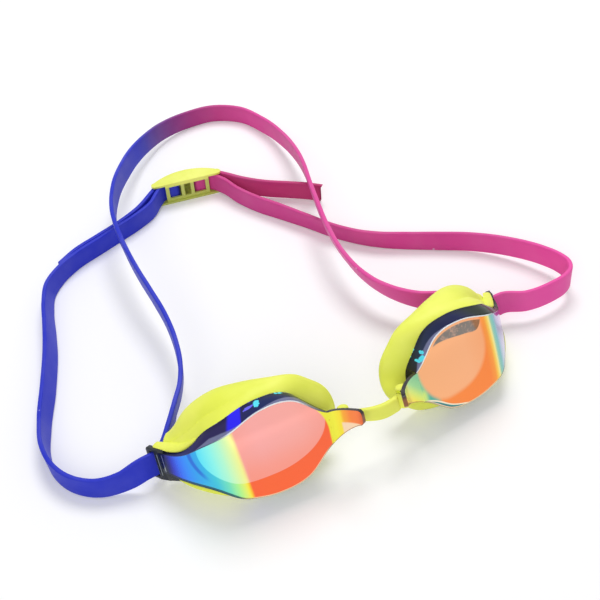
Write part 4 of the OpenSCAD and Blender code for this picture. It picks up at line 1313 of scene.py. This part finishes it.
# %% Strap finish
# Colours at distances from the start of the crown
CROWN_DYE = [
    (38, 36, 50, 200), (46, 58, 58, 184), (57, 100, 60, 152), (68, 134, 58, 138), (80, 172, 60, 134),
    (94, 202, 66, 142), (110, 228, 76, 160)]
# The pink is palest round the right cup and deepest in the tail
PINK = [
    (BEGIN["strap_right_upper"], 228, 76, 160), (BEGIN["strap_right_wrap"], 240, 84, 168),
    (BEGIN["strap_right_lower"] + 30, 246, 84, 174), (BEGIN["strap_right_back"], 214, 70, 148),
    (BEGIN["strap_right_loop"], 212, 68, 144), (RUN[-1], 192, 60, 118)]
strap_soft = Finish("strap_silicone", Specular_IOR_Level=0.2)
run = strap_soft.own("strap_run")
from_crown = run - BEGIN["strap_crown"]
crown_dye = strap_soft.ramp(from_crown, 30, 125, CROWN_DYE)
pink_dye = strap_soft.ramp(run, PINK[0][0], RUN[-1], PINK)
uneven = strap_soft.noise(60, 3).rise(0.35, 0.75)
speck = strap_soft.node("ShaderNodeTexVoronoi", {"feature": "F1"}, {
    "Vector": strap_soft.place(), "Scale": 95.0})
colour = strap_soft.layered(crown_dye, [
    (from_crown.rise(108, 112), pink_dye), (uneven * 0.03, (255, 255, 255)),
    (speck.rise(0.06, 0.03) * 0.5, (225, 225, 240))])
grain = strap_soft.noise(2200, 2)
strap_soft.feed(Base_Color=colour, Roughness=grain * 0.18 + 0.36, Normal=strap_soft.bump(grain, 0.00003))
print("strap dye runs over", CROWN_DYE[-1][0] - CROWN_DYE[0][0], "mm of the crown")

# %% Strap stretches
EDGE_R, RING_STEP, TAIL_SLANT = 0.5, 1.3, 5.5


def section():
    """Rounded cross section of the band: through it and across it."""
    a, b = STRAP_T / 2 - EDGE_R, STRAP_W / 2 - EDGE_R
    points = []
    for x, y, start in ((a, b, 0), (-a, b, 90), (-a, -b, 180), (a, -b, 270)):
        for t in np.radians(start + np.linspace(0, 90, 5)):
            points.append((x + EDGE_R * cos(t), y + EDGE_R * sin(t)))
        if start in (90, 270):
            points += [(copysign(STRAP_T / 2, x), mix(y, -y, f)) for f in (0.25, 0.5, 0.75)]
    return np.array(points)


def tangent(i):
    slopes = np.diff(PLACES, axis=0) / CHORD[:, None]
    if i in (0, len(PLACES) - 1):
        return slopes[min(i, len(slopes) - 1)]
    return (CHORD[i] * slopes[i - 1] + CHORD[i - 1] * slopes[i]) / (CHORD[i - 1] + CHORD[i])


def stations(first, last):
    """Places, directions, widths and distances on the smooth curve through the route."""
    rows = []
    for i in range(first, last):
        a, h = PLACES[i], CHORD[i]
        c, m, n = PLACES[i + 1] - a, h * tangent(i), h * tangent(i + 1)
        count = max(2, ceil(h / RING_STEP))
        for k in range(count + (i == last - 1)):
            f = k / count
            p = a + f * (m + f * (3 * c - 2 * m - n + f * (m + n - 2 * c)))
            d = m + f * (6 * c - 4 * m - 2 * n + f * (3 * m + 3 * n - 6 * c))
            rows.append((p, d, mix(WIDTHS[i], WIDTHS[i + 1], f), mix(RUN[i], RUN[i + 1], f)))
    return rows


def strap_stretch(node):
    shape = section()
    through, across = shape[:, :1], shape[:, 1:]
    rings, runs = [], []
    for p, d, w, distance in stations(*SPANS[node]):
        n = np.cross(d, w)
        n /= np.linalg.norm(n)
        m = np.cross(n, d)
        m /= np.linalg.norm(m)
        rings.append(p + through * n + across * m)
        runs += [distance] * len(shape)
    if node == "strap_right_tail":
        rings[-1] = rings[-1] - TAIL_SLANT * (0.5 - across / STRAP_W) * d / np.linalg.norm(d)
    skin = Skin("strap_run")
    skin.tube(rings, strap_run=runs)
    made = skin.make(node + "_band", [strap_soft], sharp=60)
    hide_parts(node)
    return made


bands = {node: strap_stretch(node) for node in SPANS}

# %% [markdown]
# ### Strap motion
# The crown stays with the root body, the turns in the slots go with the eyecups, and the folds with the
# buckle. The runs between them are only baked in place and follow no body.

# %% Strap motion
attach(bands["strap_crown"], "strap")
for _, word in SIDES:
    cup = f"{word}_eyecup"
    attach(bands[f"strap_{word}_wrap"], cup)
    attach(bands[f"strap_{word}_loop"], "slide_buckle")
    slot_place = PLACES[SPANS[f"strap_{word}_wrap"][0]]
    for part, body, near in (("lower", cup, slot_place), ("upper", cup, slot_place),
                             ("back", "slide_buckle", BUCKLE_AT), ("tail", "slide_buckle", BUCKLE_AT)):
        ends = to_frame(PLACES[list(SPANS[f"strap_{word}_{part}"])])
        moved = np.linalg.norm(ends - to_frame(near), axis=1).argmin()
        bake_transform(bands[f"strap_{word}_{part}"], body, "strap", start=ends[moved], end=ends[1 - moved])
print("strap pieces:", len(bands))

# %% [markdown]
# ## Buckle
# The buckle is a small hard moulding and its measured shape is right, so the solid stays. It only needs the
# soft edges of a moulding, which a bevel gives without touching the solid, and a gloss finish, with
# painted shade on the web under the cap.

# %% Buckle
SOFT_EDGE, SOFT_FROM = 0.0003, 40
lime_hard = Finish("lime_plastic", Coat_Weight=0.35, Coat_Roughness=0.12)
flow = lime_hard.noise(80, 3, 0.6)
cap = lime_hard.blend(flow.rise(0.3, 0.7), (234, 242, 84), (248, 253, 116))
# The web under the cap is painted darker: painted shade under the cap, and partly its thinner, translucent
# plastic; lift is 0 at the lower rail and 1 at the cap's top
box_share = lime_hard.node("ShaderNodeTexCoord", out="Generated")
lift = lime_hard.node("ShaderNodeSeparateXYZ", {}, {0: box_share}, out=2)
lime_hard.feed(Base_Color=lime_hard.blend(lift.rise(0.84, 0.72), cap, (196, 206, 92)),
               Roughness=lime_hard.noise(900) * 0.12 + 0.24)
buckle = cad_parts["buckle"]
buckle.data.materials.clear()
buckle.data.materials.append(lime_hard.material)
soften = buckle.modifiers.new("soften", "BEVEL")
soften.width = SOFT_EDGE
soften.segments = 4
soften.limit_method = "ANGLE"
soften.angle_limit = radians(SOFT_FROM)
print("buckle softened by", SOFT_EDGE / MM, "mm")
